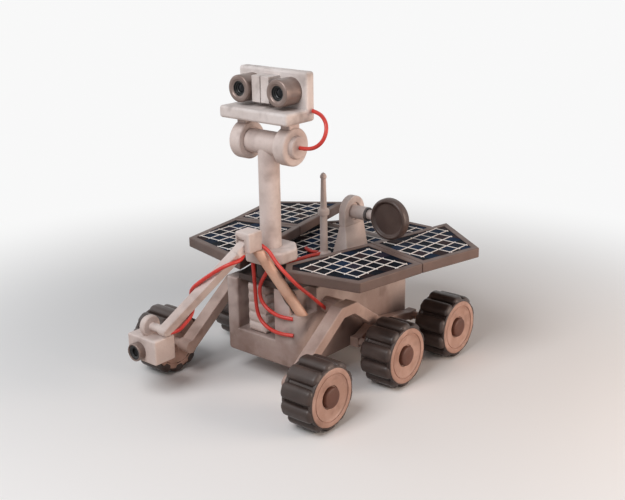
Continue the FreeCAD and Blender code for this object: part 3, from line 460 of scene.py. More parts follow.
def addSpun(bm, profile, centre, axis, side, steps=64):
    # profile: (radius, distance along the axis, rounding); the line is turned once round the axis
    centre, axis, side = Vector(centre), Vector(axis), Vector(side)
    line = [bm.verts.new(centre + side * p[0] + axis * p[1]) for p in profile]
    for pair in zip(line, line[1:]):
        bm.edges.new(pair)
    for rounding in sorted({p[2] for p in profile if p[2] > 0}):
        corners = [v for v, p in zip(line, profile) if v.is_valid and p[2] == rounding]
        bmesh.ops.bevel(bm, geom=corners, offset=rounding, offset_type="OFFSET",
                        segments=shaping["spunSegments"], profile=0.5, affect="VERTICES",
                        clamp_overlap=True, material=-1)
    edges = [e for e in bm.edges if e.is_wire]
    verts = list({v for e in edges for v in e.verts})
    bmesh.ops.spin(bm, geom=verts + edges, cent=centre, axis=axis, dvec=(0, 0, 0), angle=math.tau,
                   steps=steps, use_merge=True, use_duplicate=False)
    bmesh.ops.remove_doubles(bm, verts=bm.verts, dist=shaping["mergeWithin"])
    bmesh.ops.recalc_face_normals(bm, faces=bm.faces)


def spunPiece(name, profile, centre, axis, side, body, finish, nodes=(), steps=64, sharp=38.0,
              even=True):
    bm = bmesh.new()
    addSpun(bm, profile, centre, axis, side, steps)
    return addPiece(name, bm, body, finish, nodes, sharp, even)


def softened(node, name, width, finish):
    # the same shape as the solid, with its hard edges rounded off where a width is given
    source = frame["nodes"][node]
    bm = bmesh.new()
    bm.from_mesh(source.data)
    bmesh.ops.remove_doubles(bm, verts=bm.verts, dist=shaping["mergeWithin"])
    if width:
        bmesh.ops.dissolve_limit(bm, angle_limit=math.radians(shaping["flatWithin"]), verts=bm.verts,
                                 edges=bm.edges)
        hardFrom = math.radians(shaping["hardFrom"])
        hard = [e for e in bm.edges if len(e.link_faces) == 2 and e.calc_face_angle() > hardFrom]
        softenEdges(bm, hard, width)
    return addPiece(name, bm, source["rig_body"], finish, [node], shaping["shadeHardFrom"])


cables = {
    "headCable": {"node": "head_cable", "body": "head", "length": 0.344, "line": [
        (0.189, -0.257, 1.168), (0.232, -0.257, 1.168), (0.276, -0.252, 1.180), (0.308, -0.243, 1.208),
        (0.321, -0.231, 1.248), (0.308, -0.215, 1.286), (0.272, -0.199, 1.312), (0.231, -0.187, 1.322),
        (0.193, -0.182, 1.326)]},
    "recessCableLong": {"node": "recess_cable_long", "body": "chassis", "length": 0.478, "line": [
        (-0.019, -0.364, 0.616), (-0.015, -0.363, 0.552), (-0.012, -0.362, 0.484), (-0.010, -0.361, 0.416),
        (0.003, -0.361, 0.352), (0.046, -0.361, 0.314), (0.100, -0.360, 0.299), (0.156, -0.355, 0.296),
        (0.198, -0.335, 0.295)]},
    "recessCableShort": {"node": "recess_cable_short", "body": "chassis", "length": 0.384, "line": [
        (0.058, -0.324, 0.616), (0.044, -0.334, 0.578), (0.026, -0.350, 0.541), (0.013, -0.360, 0.494),
        (0.021, -0.361, 0.440), (0.055, -0.361, 0.408), (0.101, -0.360, 0.389), (0.154, -0.355, 0.380),
        (0.196, -0.335, 0.377)]},
    "sideCable": {"node": "side_cable", "body": "chassis", "length": 0.540, "line": [
        (0.050, -0.389, 0.727), (0.092, -0.373, 0.702), (0.136, -0.386, 0.669), (0.178, -0.392, 0.641),
        (0.224, -0.384, 0.602), (0.254, -0.349, 0.551), (0.262, -0.278, 0.489), (0.256, -0.212, 0.431),
        (0.252, -0.156, 0.384)]},
    "deckCable": {"node": "deck_cable", "body": "chassis", "length": 0.315, "line": [
        (-0.038, -0.204, 0.541), (-0.050, -0.150, 0.540), (-0.050, -0.094, 0.540), (-0.038, -0.042, 0.538),
        (-0.032, 0.006, 0.537), (-0.022, 0.048, 0.540), (-0.008, 0.078, 0.540), (-0.005, 0.104, 0.540)]},
    "deckLead": {"node": "deck_lead", "body": "chassis", "length": 0.119, "line": [
        (-0.022, 0.114, 0.540), (-0.058, 0.106, 0.540), (-0.092, 0.116, 0.539), (-0.130, 0.145, 0.533)]},
    "armCable": {"node": "arm_cable", "body": "forearm", "length": 0.625, "line": [
        (0.026, -0.466, 0.701), (0.039, -0.489, 0.685), (0.047, -0.524, 0.679), (0.035, -0.567, 0.676),
        (-0.008, -0.602, 0.648), (-0.060, -0.633, 0.606), (-0.110, -0.653, 0.564), (-0.140, -0.652, 0.530),
        (-0.149, -0.638, 0.487), (-0.137, -0.643, 0.447), (-0.123, -0.672, 0.419), (-0.137, -0.699, 0.386),
        (-0.160, -0.727, 0.350), (-0.192, -0.761, 0.344)]},
}
cableMake = {"diameter": 0.018, "order": 3, "stepsAlong": 10, "stepsRound": 6}


def makeCable(name, facts):
    curve = bpy.data.curves.new(name, "CURVE")
    curve.dimensions = "3D"
    spline = curve.splines.new("NURBS")
    spline.points.add(len(facts["line"]) - 1)
    for point, place in zip(spline.points, facts["line"]):
        point.co = (*place, 1.0)
    spline.order_u = cableMake["order"]
    spline.use_endpoint_u = True
    spline.use_smooth = True
    curve.resolution_u = cableMake["stepsAlong"]
    curve.bevel_depth = cableMake["diameter"] / 2
    curve.bevel_resolution = cableMake["stepsRound"]
    curve.use_fill_caps = True
    curve.materials.append(cableJacket)
    piece = bpy.data.objects.new(name, curve)
    scene.collection.objects.link(piece)
    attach(piece, facts["body"])
    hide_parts(facts["node"])


for cableName, cableFacts in cables.items():
    makeCable(cableName, cableFacts)
print("stage 4: cables")


wheel = {
    "track": 0.490, "radius": 0.162, "axles": {"front": -0.513, "middle": 0.050, "rear": 0.500},
    "half": 0.086, "coreRadius": 0.1330, "beadRadius": 0.1430, "beadInner": 0.068, "beadOuter": 0.0845,
    "beadSlope": 0.004, "beadEdge": 0.004, "shoulderEdge": 0.006, "mouthRadius": 0.1364,
    # radius, depth behind the rim's face, rounding; under the tyre the disc stays below its core
    "discFace": [(0.0, 0.018, 0), (0.053, 0.018, 0.001), (0.0545, 0.011, 0.002), (0.068, 0.0115, 0.006),
                 (0.101, 0.006, 0.006), (0.107, 0.002, 0.001), (0.108, 0.0055, 0.0006),
                 (0.1115, 0.0055, 0.0006), (0.113, 0.0, 0.0016), (0.135, 0.0, 0.004), (0.136, 0.005, 0),
                 (0.136, 0.018, 0), (0.127, 0.028, 0)],
    # radius, rise over the rim's face, rounding
    "capFace": [(0.0, 0.007, 0), (0.0264, 0.0064, 0.004), (0.044, 0.0042, 0.003), (0.048, 0.0, 0.003),
                (0.048, -0.0178, 0), (0.0, -0.0178, 0)],
}
lug = {
    "count": 10, "inner": 0.0880, "outer": 0.0835, "gap": 0.0115, "floor": 0.104, "edge": 0.0260,
    "edgeSegments": 7, "crown": 0.0020,
    "endSquash": 1.3,  # the ends are rounded more tightly than the long sides
    "cutsAroundShares": (-0.5, -0.25, 0.0, 0.25, 0.5), "cutsAcross": (-0.045, 0.0, 0.045),
}


def makeLugMesh():
    # one fat cushion: a block with fully rounded edges, crowned and wrapped round the wheel
    bm = bmesh.new()
    low, tip, squash = lug["floor"], wheel["radius"], lug["endSquash"]
    middle = (low + tip) / 2
    halfTurn = math.pi / lug["count"] - lug["gap"] / middle / 2
    halfAround = halfTurn * middle
    addBox(bm, (-lug["inner"] * squash, -halfAround, low), (lug["outer"] * squash, halfAround, tip),
           lug["edge"], lug["edgeSegments"])
    cuts = [((0, share * halfAround, 0), (0, 1, 0)) for share in lug["cutsAroundShares"]]
    for spot, normal in cuts + [((x, 0, 0), (1, 0, 0)) for x in lug["cutsAcross"]]:
        bmesh.ops.bisect_plane(bm, geom=bm.verts[:] + bm.edges[:] + bm.faces[:], dist=shaping["cutWithin"],
                               plane_co=spot, plane_no=normal)
    for v in bm.verts:
        x, turn = v.co.x / squash, v.co.y / middle
        sag = (v.co.y / halfAround) ** 2 + (x / lug["outer"]) ** 2
        radius = v.co.z - lug["crown"] * sag * (v.co.z - low) / (tip - low)
        v.co = Vector((x, radius * math.sin(turn), -radius * math.cos(turn)))
    mesh = bpy.data.meshes.new("lugPattern")
    bm.to_mesh(mesh)
    bm.free()
    return mesh


def twoSided(face):
    # the same face on both sides of the middle plane, as one line
    return face + [(r, -x, edge) for r, x, edge in reversed(face)]


def makeTyre(name, centre, side, body, node, lugMesh):
    # a grooved core with a bead ring on each side, and the lugs
    bm = bmesh.new()
    inner, outer, bead = wheel["beadInner"], wheel["beadOuter"], wheel["beadRadius"]
    flank = [(wheel["mouthRadius"], outer, 0), (bead, outer, wheel["shoulderEdge"]),
             (bead, inner, wheel["beadEdge"]),
             (wheel["coreRadius"], inner - wheel["beadSlope"], wheel["beadEdge"])]
    addSpun(bm, twoSided(flank), (0, 0, 0), (side, 0, 0), (0, 0, 1), steps=80)
    for i in range(lug["count"]):
        count = len(bm.verts)
        bm.from_mesh(lugMesh)
        bm.verts.ensure_lookup_table()
        bmesh.ops.scale(bm, vec=(side, 1, 1), verts=bm.verts[count:])
        bmesh.ops.rotate(bm, cent=(0, 0, 0), matrix=Matrix.Rotation(math.tau * i / lug["count"], 3, "X"),
                         verts=bm.verts[count:])
    bmesh.ops.translate(bm, vec=centre, verts=bm.verts)
    bmesh.ops.recalc_face_normals(bm, faces=bm.faces)
    addPiece(name, bm, body, tyreRubber, [node], sharp=60.0, even=False)


def makeWheel(sideName, side, axleName, lugMesh):
    label = sideName.capitalize() + axleName.capitalize()
    place = "%s_%s" % (sideName, axleName)
    body = "wheel_" + place
    centre = Vector((side * wheel["track"], wheel["axles"][axleName], wheel["radius"]))
    axis, up, half = (side, 0, 0), (0, 0, 1), wheel["half"]
    makeTyre("tyre" + label, centre, side, body, "tyre_" + place, lugMesh)
    disc = twoSided([(r, half - depth, edge) for r, depth, edge in wheel["discFace"]])
    spunPiece("disc" + label, disc, centre, axis, up, body, discPaint, ["wheel_" + place],
              steps=96, sharp=50.0, even=False)
    cap = [(r, half + rise, edge) for r, rise, edge in wheel["capFace"]]
    spunPiece("cap" + label, cap, centre, axis, up, body, capPaint, sharp=50.0, even=False)


lugPattern = makeLugMesh()
for sideName, side in (("right", 1), ("left", -1)):
    for axleName in wheel["axles"]:
        makeWheel(sideName, side, axleName, lugPattern)
bpy.data.meshes.remove(lugPattern)
print("stage 5: wheels")


panel = {
    "frameWidth": 0.032, "recess": 0.007, "edge": 0.0055, "edgeSegments": 4, "rimEdge": 0.0022,
    "rimSegments": 2, "uprightBelow": 0.5, "wingLow": 0.567, "wingHigh": 0.616, "deckLow": 0.500,
    "deckHigh": 0.530, "cellGap": 0.0004, "cellRise": 0.0042,
}
gridLine = {
    "width": 0.0056, "rise": 0.0026, "crossRiseShare": 0.94, "sunk": 0.0005, "edge": 0.0011, "segments": 2,
    "overrun": 0.011, "margin": 0.0004, "reach": 16, "gapFromSteps": 1.5,
}
wings = {
    "frontRight": {"node": "wing_right_front", "shift": (0.0, 0.0), "outline": [
        (0.1123, -0.28), (0.177, -0.3603), (0.544, -0.278), (0.608, 0.110), (0.226, 0.209)]},
    "rearRight": {"node": "wing_right_rear", "shift": (0.0, 0.0), "outline": [
        (0.226, 0.211), (0.608, 0.112), (0.691, 0.471), (0.337, 0.727)]},
    "frontLeft": {"node": "wing_left_front", "shift": (0.0, -0.002), "outline": [
        (-0.089, -0.380), (-0.544, -0.278), (-0.608, 0.110), (-0.226, 0.209)]},
    "rearLeft": {"node": "wing_left_rear", "shift": (0.006, -0.014), "outline": [
        (-0.226, 0.211), (-0.608, 0.112), (-0.691, 0.471), (-0.337, 0.727)]},
}
deck = {
    "rearOutline": [(-0.400, 0.5433), (0.400, 0.5433), (0.156, 0.866), (-0.156, 0.866)],
    "well": [(-0.1906, -0.094), (0.1906, -0.094), (0.3655, 0.5167), (-0.3655, 0.5167)],
    # where the deck stays bare, round the two antenna feet: low and high corners
    "bare": [((0.004, 0.153), (0.134, 0.365)), ((-0.054, 0.077), (0.054, 0.185))],
    "edge": 0.003,
}


def panelSlab(outline, low, high):
    # a slab whose top is inset and sunk to take the cells; gives the slab and the sunk outline
    bm = bmesh.new()
    base = bm.faces.new([bm.verts.new((x, y, low)) for x, y in outline])
    raised = bmesh.ops.extrude_face_region(bm, geom=[base])
    bmesh.ops.translate(bm, vec=(0, 0, high - low), verts=movedVerts(raised))
    top = [g for g in raised["geom"] if isinstance(g, bmesh.types.BMFace)]
    bmesh.ops.recalc_face_normals(bm, faces=bm.faces)
    outer = bm.edges[:]
    bmesh.ops.inset_individual(bm, faces=top, thickness=panel["frameWidth"], depth=0.0, use_even_offset=True)
    sunk = bmesh.ops.extrude_discrete_faces(bm, faces=top)["faces"]
    bmesh.ops.translate(bm, vec=(0, 0, -panel["recess"]), verts=sunk[0].verts)
    inner = [v.co.copy() for v in sunk[0].verts]
    outer = [e for e in outer if e.is_valid]
    level = high - panel["recess"] / 2
    rim = [e for e in bm.edges if e not in outer and isUpright(e) and all(v.co.z > level for v in e.verts)]
    softenEdges(bm, outer, panel["edge"], panel["edgeSegments"])
    softenEdges(bm, [e for e in rim if e.is_valid], panel["rimEdge"], panel["rimSegments"])
    bmesh.ops.recalc_face_normals(bm, faces=bm.faces)
    return bm, inner


def isUpright(edge):
    # true for an edge of an upright face
    return any(abs(f.normal.z) < panel["uprightBelow"] for f in edge.link_faces)


def insideLoop(loop, x, y, margin):
    # true where a point is at least the margin inside a convex outline
    pairs = list(zip(loop, loop[1:] + loop[:1]))
    turn = 1 if sum(a.x * b.y - b.x * a.y for a, b in pairs) > 0 else -1
    for a, b in pairs:
        along = Vector((b.x - a.x, b.y - a.y))
        away = (along.x * (y - a.y) - along.y * (x - a.x)) * turn / along.length
        if away < margin:
            return False
    return True


def runsOf(values, step):
    # splits a row of crossings where a crossing is missing
    runs = []
    for value in values:
        if runs and value - runs[-1][-1] < step * gridLine["gapFromSteps"]:
            runs[-1].append(value)
        else:
            runs.append([value])
    return runs


def makeCells(name, loop, floor, finish):
    bm = bmesh.new()
    face = bm.faces.new([bm.verts.new((v.x, v.y, floor)) for v in loop])
    if face.normal.z < 0:
        face.normal_flip()
    bmesh.ops.inset_individual(bm, faces=[face], thickness=panel["cellGap"], depth=0.0, use_even_offset=True)
    raised = bmesh.ops.extrude_discrete_faces(bm, faces=[face])["faces"]
    bmesh.ops.translate(bm, vec=(0, 0, panel["cellRise"]), verts=raised[0].verts)
    bmesh.ops.recalc_face_normals(bm, faces=bm.faces)
    addPiece(name + "Cells", bm, "chassis", finish, ["solar_cells"], sharp=30.0, even=False)


def makeGridLines(name, loop, top, shift, bare=()):
    # lines run along x and y through every crossing that lies inside the frame
    g = gridLine
    stepX, stepY, order = panelGrid["pitchX"], panelGrid["pitchY"], range(-g["reach"], g["reach"] + 1)
    allX, allY = [shift[0] + stepX * i for i in order], [shift[1] + stepY * i for i in order]
    inside = {(x, y) for x in allX for y in allY if insideLoop(loop, x, y, g["margin"])
              and not any(low[0] < x < high[0] and low[1] < y < high[1] for low, high in bare)}
    half, over, sunk, rise = g["width"] / 2, g["overrun"], g["sunk"], g["rise"]
    bm = bmesh.new()
    for x in allX:
        for run in runsOf([y for y in allY if (x, y) in inside], stepY):
            addBox(bm, (x - half, run[0] - over, top - sunk), (x + half, run[-1] + over, top + rise),
                   g["edge"], g["segments"])
    rise *= g["crossRiseShare"]
    for y in allY:
        for run in runsOf([x for x in allX if (x, y) in inside], stepX):
            addBox(bm, (run[0] - over, y - half, top - sunk), (run[-1] + over, y + half, top + rise),
                   g["edge"], g["segments"])
    addPiece(name + "Lines", bm, "chassis", gridPaint, sharp=50.0, even=False)


def coverWith(name, loop, high, shift, finish, bare=()):
    floor = high - panel["recess"]
    makeCells(name, loop, floor, finish)
    makeGridLines(name, loop, floor + panel["cellRise"], shift, bare)


for wingName, wingFacts in wings.items():
    slab, sunkLoop = panelSlab(wingFacts["outline"], panel["wingLow"], panel["wingHigh"])
    addPiece(wingName + "Panel", slab, "chassis", framePaint, [wingFacts["node"]])
    wingShift = tuple(a + b for a, b in zip(panelGrid["offset"], wingFacts["shift"]))
    coverWith(wingName, sunkLoop, panel["wingHigh"], wingShift, cellGlass)
slab, sunkLoop = panelSlab(deck["rearOutline"], panel["deckLow"], panel["deckHigh"])
addPiece("rearPanel", slab, "chassis", framePaint, ["rear_panel"])
coverWith("rearPanel", sunkLoop, panel["deckHigh"], panelGrid["deckOffset"], deckCellGlass)
# the centre deck and the wing risers carry painted shade
softened("centre_deck", "centreDeck", deck["edge"], deckShadePaint)
coverWith("centreDeck", [Vector(spot).to_3d() for spot in deck["well"]], panel["deckHigh"],
          panelGrid["deckOffset"], deckCellGlass, deck["bare"])
softened("wing_risers", "wingRisers", deck["edge"], deckShadePaint)
print("stage 6: panels")


mast = {
    "y": -0.257, "baseSides": 8, "baseRadius": 0.131, "baseLow": 0.616, "baseHigh": 0.675,
    "baseEdge": 0.013, "footRadius": 0.070, "footLow": 0.530, "footTop": 0.620,
    "postRadius": 0.050, "postLow": 0.6753, "tubeZ": 1.168, "tubeRadius": 0.055, "tubeHalf": 0.150,
    "tubeEdge": 0.002,
}


def rodProfile(radius, low, high, edge=0):
    return [(0.0, low, 0), (radius, low, edge), (radius, high, edge), (0.0, high, 0)]


def makeMastBase():
    bm = bmesh.new()
    ring = bmesh.ops.create_circle(bm, cap_ends=True, segments=mast["baseSides"],
                                   radius=mast["baseRadius"])["verts"]
    turn = Matrix.Rotation(math.pi / mast["baseSides"], 3, "Z")
    bmesh.ops.rotate(bm, cent=(0, 0, 0), matrix=turn, verts=ring)
    bmesh.ops.translate(bm, vec=(0, mast["y"], mast["baseLow"]), verts=ring)
    raised = bmesh.ops.extrude_face_region(bm, geom=bm.faces[:])
    bmesh.ops.translate(bm, vec=(0, 0, mast["baseHigh"] - mast["baseLow"]), verts=movedVerts(raised))
    bmesh.ops.recalc_face_normals(bm, faces=bm.faces)
    softenEdges(bm, bm.edges[:], mast["baseEdge"], segments=5)
    addPiece("mastBase", bm, "chassis", palePaint, ["mast_base"])


def makeMast():
    makeMastBase()
    m = mast
    spot, up, right = (0, m["y"], 0), (0, 0, 1), (1, 0, 0)
    # the mast foot carries painted shade
    spunPiece("mastFoot", rodProfile(m["footRadius"], m["footLow"], m["footTop"]), spot, up, right,
              "chassis", deckShadePaint)
    spunPiece("mastPost", rodProfile(m["postRadius"], m["postLow"], m["tubeZ"]), spot, up, right,
              "mast", palePaint, ["mast_post"])
    spunPiece("mastTube", rodProfile(m["tubeRadius"], -m["tubeHalf"], m["tubeHalf"], m["tubeEdge"]),
              (0, m["y"], m["tubeZ"]), right, up, "mast", palePaint)


head = {
    "half": 0.205, "shelfFront": -0.362, "shelfLow": 1.278, "shelfHigh": 1.334, "plateFront": -0.223,
    "plateRear": -0.168, "plateTop": 1.499, "edge": 0.014,
    "earHalf": 0.034, "earIn": 0.106, "earOut": 0.161, "earLow": 1.228, "earHigh": 1.280, "earEdge": 0.004,
    "boxWidth": 0.049, "boxGap": 0.005, "boxFront": -0.303, "boxRear": -0.222, "boxLow": 1.356,
    "boxTop": 1.476, "boxEdge": 0.0042,
    # radius, distance from the middle plane, rounding
    "collar": [(0.0556, 0.104, 0), (0.060, 0.104, 0.001), (0.062, 0.100, 0.001), (0.088, 0.100, 0.009),
               (0.088, 0.167, 0.010), (0.055, 0.167, 0.002), (0.052, 0.169, 0.001), (0.052, 0.189, 0.009),
               (0.0, 0.189, 0)],
}
eye = {
    "x": 0.116, "z": 1.411,
    # radius, distance to the front, rounding
    "barrel": [(0.0, 0.223, 0), (0.062, 0.223, 0), (0.062, 0.322, 0.008), (0.052, 0.323, 0.003),
               (0.043, 0.323, 0.002), (0.0385, 0.3195, 0.002), (0.034, 0.318, 0.001), (0.034, 0.303, 0)],
    "ring": [(0.0337, 0.3175, 0), (0.031, 0.3165, 0.001), (0.030, 0.3105, 0.001), (0.025, 0.3095, 0.001),
             (0.024, 0.304, 0.001), (0.020, 0.3015, 0)],
    "lens": [(0.0, 0.3065, 0), (0.008, 0.306, 0), (0.015, 0.3042, 0), (0.0205, 0.3012, 0)],
}


def makeHeadPlate():
    # an L from the side: the shelf in front of the upright plate
    bm = bmesh.new()
    outline = [(head["shelfFront"], head["shelfLow"]), (head["shelfFront"], head["shelfHigh"]),
               (head["plateFront"], head["shelfHigh"]), (head["plateFront"], head["plateTop"]),
               (head["plateRear"], head["plateTop"]), (head["plateRear"], head["shelfLow"])]
    side = bm.faces.new([bm.verts.new((-head["half"], y, z)) for y, z in outline])
    raised = bmesh.ops.extrude_face_region(bm, geom=[side])
    bmesh.ops.translate(bm, vec=(2 * head["half"], 0, 0), verts=movedVerts(raised))
    bmesh.ops.recalc_face_normals(bm, faces=bm.faces)
    near = head["edge"] / 2
    corner = [e for e in bm.edges if all(abs(v.co.y - head["plateFront"]) < near
                                         and abs(v.co.z - head["shelfHigh"]) < near for v in e.verts)]
    softenEdges(bm, [e for e in bm.edges if e not in corner], head["edge"], segments=5)
    addPiece("headPlate", bm, "head", headPaint, ["head_plate"])


def makeCollar(label, side):
    # the collar turns on the mast tube, and its ear carries the shelf
    bm = bmesh.new()
    addSpun(bm, head["collar"], (0, mast["y"], mast["tubeZ"]), (side, 0, 0), (0, 0, 1), steps=80)
    low, high = sorted([side * head["earIn"], side * head["earOut"]])
    addBox(bm, (low, mast["y"] - head["earHalf"], head["earLow"]),
           (high, mast["y"] + head["earHalf"], head["earHigh"]), head["earEdge"])
    addPiece("collar" + label, bm, "head", palePaint, ["head_collars"])


def makeCamera(label, side):
    spot, forward, up = (side * eye["x"], 0, eye["z"]), (0, -1, 0), (0, 0, 1)
    spunPiece("barrel" + label, eye["barrel"], spot, forward, up, "head", metalPaint,
              ["camera_barrels"], steps=80, sharp=35.0)
    spunPiece("lensRing" + label, eye["ring"], spot, forward, up, "head", boreBlack,
              sharp=35.0)
    spunPiece("lens" + label, eye["lens"], spot, forward, up, "head", lensGlass,
              ["camera_lenses"], steps=48, sharp=60.0, even=False)


def makeSensorBox(label, side):
    near = head["boxGap"] / 2
    low, high = sorted([side * near, side * (near + head["boxWidth"])])
    bm = bmesh.new()
    addBox(bm, (low, head["boxFront"], head["boxLow"]), (high, head["boxRear"], head["boxTop"]),
           head["boxEdge"], segments=4)
    addPiece("sensorBox" + label, bm, "head", headPaint, ["sensor_boxes"])


makeMast()
makeHeadPlate()
for sideLabel, side in (("Right", 1), ("Left", -1)):
    makeCollar(sideLabel, side)
    makeCamera(sideLabel, side)
    makeSensorBox(sideLabel, side)
print("stage 7: mast and head")


rodAntenna = {
    "spot": (0.0, 0.131, 0.0),
    # radius, height, rounding: foot, thick lower rod, collar, slim upper rod and bead
    "profile": [(0.0, 0.530, 0), (0.036, 0.530, 0), (0.036, 0.544, 0.005), (0.0245, 0.544, 0.003),
                (0.0195, 0.554, 0.004), (0.0185, 0.735, 0.001), (0.027, 0.736, 0.004),
                (0.029, 0.744, 0.004), (0.029, 0.760, 0.004), (0.026, 0.768, 0.005),
                (0.0165, 0.772, 0.002), (0.0125, 0.922, 0.001), (0.016, 0.925, 0.002),
                (0.017, 0.934, 0.004), (0.01054, 0.947, 0.005), (0.0, 0.953, 0)],
}
dish = {
    "y": 0.259, "z": 0.742, "archRadius": 0.079, "archLeft": 0.056, "archRight": 0.097, "archFoot": 0.677,
    "archEdge": 0.0045, "archSteps": 28, "eyeRadius": 0.046, "eyeDepth": 0.012, "eyeSides": 56,
    "deck": 0.530, "footLeft": 0.022, "footRight": 0.116, "footHalf": 0.088, "footTop": 0.6775,
    "footTopHalf": 0.0755, "footTopIn": 0.002, "footEdge": 0.004,
    "shaftRadius": 0.034, "shaftFrom": 0.0856, "shaftTo": 0.173, "shaftEdge": 0.001,
    "neckRadius": 0.024, "neckFrom": 0.1825, "neckTo": 0.219, "faceX": 0.313,
    # radius, distance from the middle plane, rounding
    "collar": [(0.0, 0.1732, 0), (0.0348, 0.1732, 0.001), (0.0348, 0.185, 0.003), (0.028, 0.185, 0.001),
               (0.027, 0.182, 0), (0.0, 0.182, 0)],
    # radius, distance in front of the dish's middle, rounding
    "face": [(0.0, 0.015, 0), (0.078, 0.015, 0.003), (0.083, 0.021, 0.003), (0.087, 0.027, 0.004),
             (0.098, 0.027, 0.009), (0.104, 0.014, 0.009), (0.104, -0.015, 0.009), (0.092, -0.027, 0.009),
             (0.0, -0.027, 0)],
}


def addArch(bm):
    # upright sides under a half-round top, with a round eye sunk into the right face
    centre = Vector((dish["archRight"], dish["y"], dish["z"]))
    radius, foot = dish["archRadius"], dish["archFoot"]
    start = bm.verts.new(centre - Vector((0, radius, 0)))
    turned = bmesh.ops.spin(bm, geom=[start], cent=centre, axis=(1, 0, 0), dvec=(0, 0, 0), angle=-math.pi,
                            steps=dish["archSteps"], use_merge=False, use_duplicate=False)["geom_last"]
    last = [g for g in turned if isinstance(g, bmesh.types.BMVert)][0]
    rear = bm.verts.new((centre.x, centre.y + radius, foot))
    front = bm.verts.new((centre.x, centre.y - radius, foot))
    for pair in ((last, rear), (rear, front), (front, start)):
        bm.edges.new(pair)
    outline = bm.edges[:]
    ring = bmesh.ops.create_circle(bm, cap_ends=False, segments=dish["eyeSides"],
                                   radius=dish["eyeRadius"])["verts"]
    bmesh.ops.rotate(bm, cent=(0, 0, 0), matrix=Matrix.Rotation(math.pi / 2, 3, "Y"), verts=ring)
    bmesh.ops.translate(bm, vec=centre, verts=ring)
    ringEdges = [e for e in bm.edges if e not in outline]
    bmesh.ops.triangle_fill(bm, use_beauty=True, use_dissolve=False, edges=bm.edges[:])
    for edges, depth in ((outline, dish["archRight"] - dish["archLeft"]), (ringEdges, dish["eyeDepth"])):
        moved = bmesh.ops.extrude_edge_only(bm, edges=edges)
        bmesh.ops.translate(bm, vec=(-depth, 0, 0), verts=movedVerts(moved))
        loop = [g for g in moved["geom"] if isinstance(g, bmesh.types.BMEdge)]
        bmesh.ops.contextual_create(bm, geom=loop)
    bmesh.ops.recalc_face_normals(bm, faces=bm.faces)
    floor, near = dish["archRight"] - dish["eyeDepth"], dish["archEdge"] / 4
    hard = [e for e in bm.edges if e.calc_face_angle(0) > math.radians(shaping["shadeHardFrom"])
            and not all(abs(v.co.x - floor) < near for v in e.verts)]
    softenEdges(bm, hard, dish["archEdge"])


def addDishFoot(bm):
    # a block on the deck that narrows to the arch's width
    d = dish
    addBox(bm, (d["footLeft"], d["y"] - d["footHalf"], d["deck"]),
           (d["footRight"], d["y"] + d["footHalf"], d["footTop"]))
    upper = [v for v in bm.verts if v.co.z > (d["deck"] + d["footTop"]) / 2]
    for v in upper:
        leftSide = v.co.x < d["archLeft"]
        v.co.x = d["archLeft"] + d["footTopIn"] if leftSide else d["archRight"] - d["footTopIn"]
        v.co.y = d["y"] + math.copysign(d["footTopHalf"], v.co.y - d["y"])
    softenEdges(bm, [e for e in bm.edges if any(v in upper for v in e.verts)], d["footEdge"])


def makeDishStand():
    arch = bmesh.new()
    addArch(arch)
    mesh = bpy.data.meshes.new("archPattern")
    arch.to_mesh(mesh)
    arch.free()
    bm = bmesh.new()
    addDishFoot(bm)
    bm.from_mesh(mesh)
    bpy.data.meshes.remove(mesh)
    addPiece("dishStand", bm, "chassis", palePaint, ["dish_foot"])


def makeDish():
    d, body = dish, "dish_antenna"
    centre, toRight, up = (0, d["y"], d["z"]), (1, 0, 0), (0, 0, 1)
    shaft = rodProfile(d["shaftRadius"], d["shaftFrom"], d["shaftTo"])
    shaft[2] = (*shaft[2][:2], d["shaftEdge"])  # only its far end is rounded
    spunPiece("dishShaft", shaft, centre, toRight, up, body, palePaint, ["dish_shaft"])
    spunPiece("dishCollar", d["collar"], centre, toRight, up, body, collarGrey)
    spunPiece("dishNeck", rodProfile(d["neckRadius"], d["neckFrom"], d["neckTo"]), centre, toRight, up,
              body, palePaint)
    spunPiece("dishFace", d["face"], (d["faceX"], d["y"], d["z"]), (0, -1, 0), up, body, dishPaint,
              ["dish"], steps=96, sharp=50.0)


spunPiece("rodAntenna", rodAntenna["profile"], rodAntenna["spot"], (0, 0, 1), (1, 0, 0), "chassis",
          palePaint, ["rod_antenna"], steps=48, sharp=50.0)
makeDishStand()
makeDish()
print("stage 8: antennas")


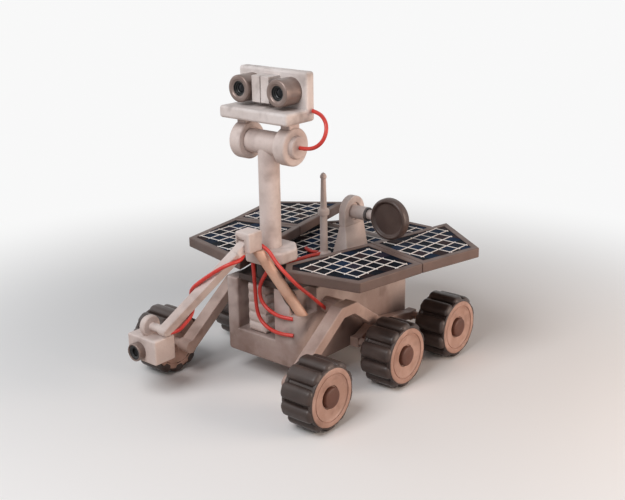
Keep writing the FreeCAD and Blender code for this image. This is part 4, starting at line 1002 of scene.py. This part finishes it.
hull = {"edge": 0.004}
bellows = {
    "left": -0.108, "right": 0.014, "front": -0.323, "rear": -0.220, "low": 0.2445, "high": 0.492,
    "ribs": 5, "ribEdge": 0.0220, "ribSegments": 6, "ribDepth": 0.0065, "overlap": 0.0035,
    "rearOverlap": 0.001, "coreInset": 0.004, "coreEdge": 0.004,
}
arm = {"strutEdge": 0.002}
wrist = {
    "y": -0.767, "z": 0.358, "lensX": -0.312, "lensZ": 0.252,
    # radius, distance to the left, rounding: a thick drum that rounds off to a knob
    "drum": [(0.0, 0.287, 0), (0.051, 0.287, 0.009), (0.052, 0.310, 0.006), (0.043, 0.327, 0.008),
             (0.022, 0.335, 0.003), (0.020, 0.337, 0.001), (0.020, 0.351, 0.006), (0.0, 0.351, 0)],
    # radius, distance to the front, rounding
    "lens": [(0.043, 0.829, 0), (0.043, 0.866, 0.006), (0.0365, 0.866, 0.0015), (0.0345, 0.860, 0)],
    "bore": [(0.0347, 0.8605, 0), (0.028, 0.8615, 0.0015), (0.024, 0.858, 0.0015), (0.020, 0.8565, 0.001),
             (0.018, 0.846, 0.001), (0.010, 0.845, 0.001), (0.0, 0.8465, 0)],
}


def makeBellows():
    # soft ribs stacked on a plain core
    b = bellows
    bm = bmesh.new()
    depth, inset, step = b["ribDepth"], b["coreInset"], (b["high"] - b["low"]) / b["ribs"]
    addBox(bm, (b["left"] + depth, b["front"] + depth, b["low"] + inset),
           (b["right"] - depth, b["rear"], b["high"] - inset), b["coreEdge"])
    for i in range(b["ribs"]):
        low = b["low"] + step * i
        below, above = b["overlap"] * (i > 0), b["overlap"] * (i < b["ribs"] - 1)
        addBox(bm, (b["left"], b["front"], low - below),
               (b["right"], b["rear"] + b["rearOverlap"], low + step + above), b["ribEdge"], b["ribSegments"])
    addPiece("equipmentBlock", bm, "chassis", palePaint, ["equipment_block"], sharp=60.0)


def makeWrist():
    body = frame["nodes"]["wrist_disc"]["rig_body"]
    forward, up, spot = (0, -1, 0), (0, 0, 1), (wrist["lensX"], 0, wrist["lensZ"])
    spunPiece("wristDrum", wrist["drum"], (0, wrist["y"], wrist["z"]), (-1, 0, 0), up, body, palePaint,
              ["wrist_disc"], steps=72, sharp=50.0)
    spunPiece("instrumentLens", wrist["lens"], spot, forward, up, body, metalPaint,
              ["instrument_lens"], steps=72, sharp=35.0)
    spunPiece("instrumentBore", wrist["bore"], spot, forward, up, body, boreBlack,
              sharp=35.0)


# the hull's paint carries painted shade
softened("hull", "hullBody", hull["edge"], hullShadedPaint)
makeBellows()
for sideName in ("right", "left"):
    # the legs and the arm's straight parts carry their rounding in the solids
    softened("rocker_" + sideName, "rocker" + sideName.capitalize(), 0.0, legPaint)
    softened("bogie_" + sideName, "bogie" + sideName.capitalize(), 0.0, legPaint)
softened("elbow_block", "elbowBlock", 0.0, palePaint)
softened("arm_strut", "armStrut", arm["strutEdge"], strutPaint)
softened("forearm", "forearmBar", 0.0, palePaint)
softened("instrument_box", "instrumentBox", 0.0, palePaint)
makeWrist()
print("stage 9: hull, legs and arm")
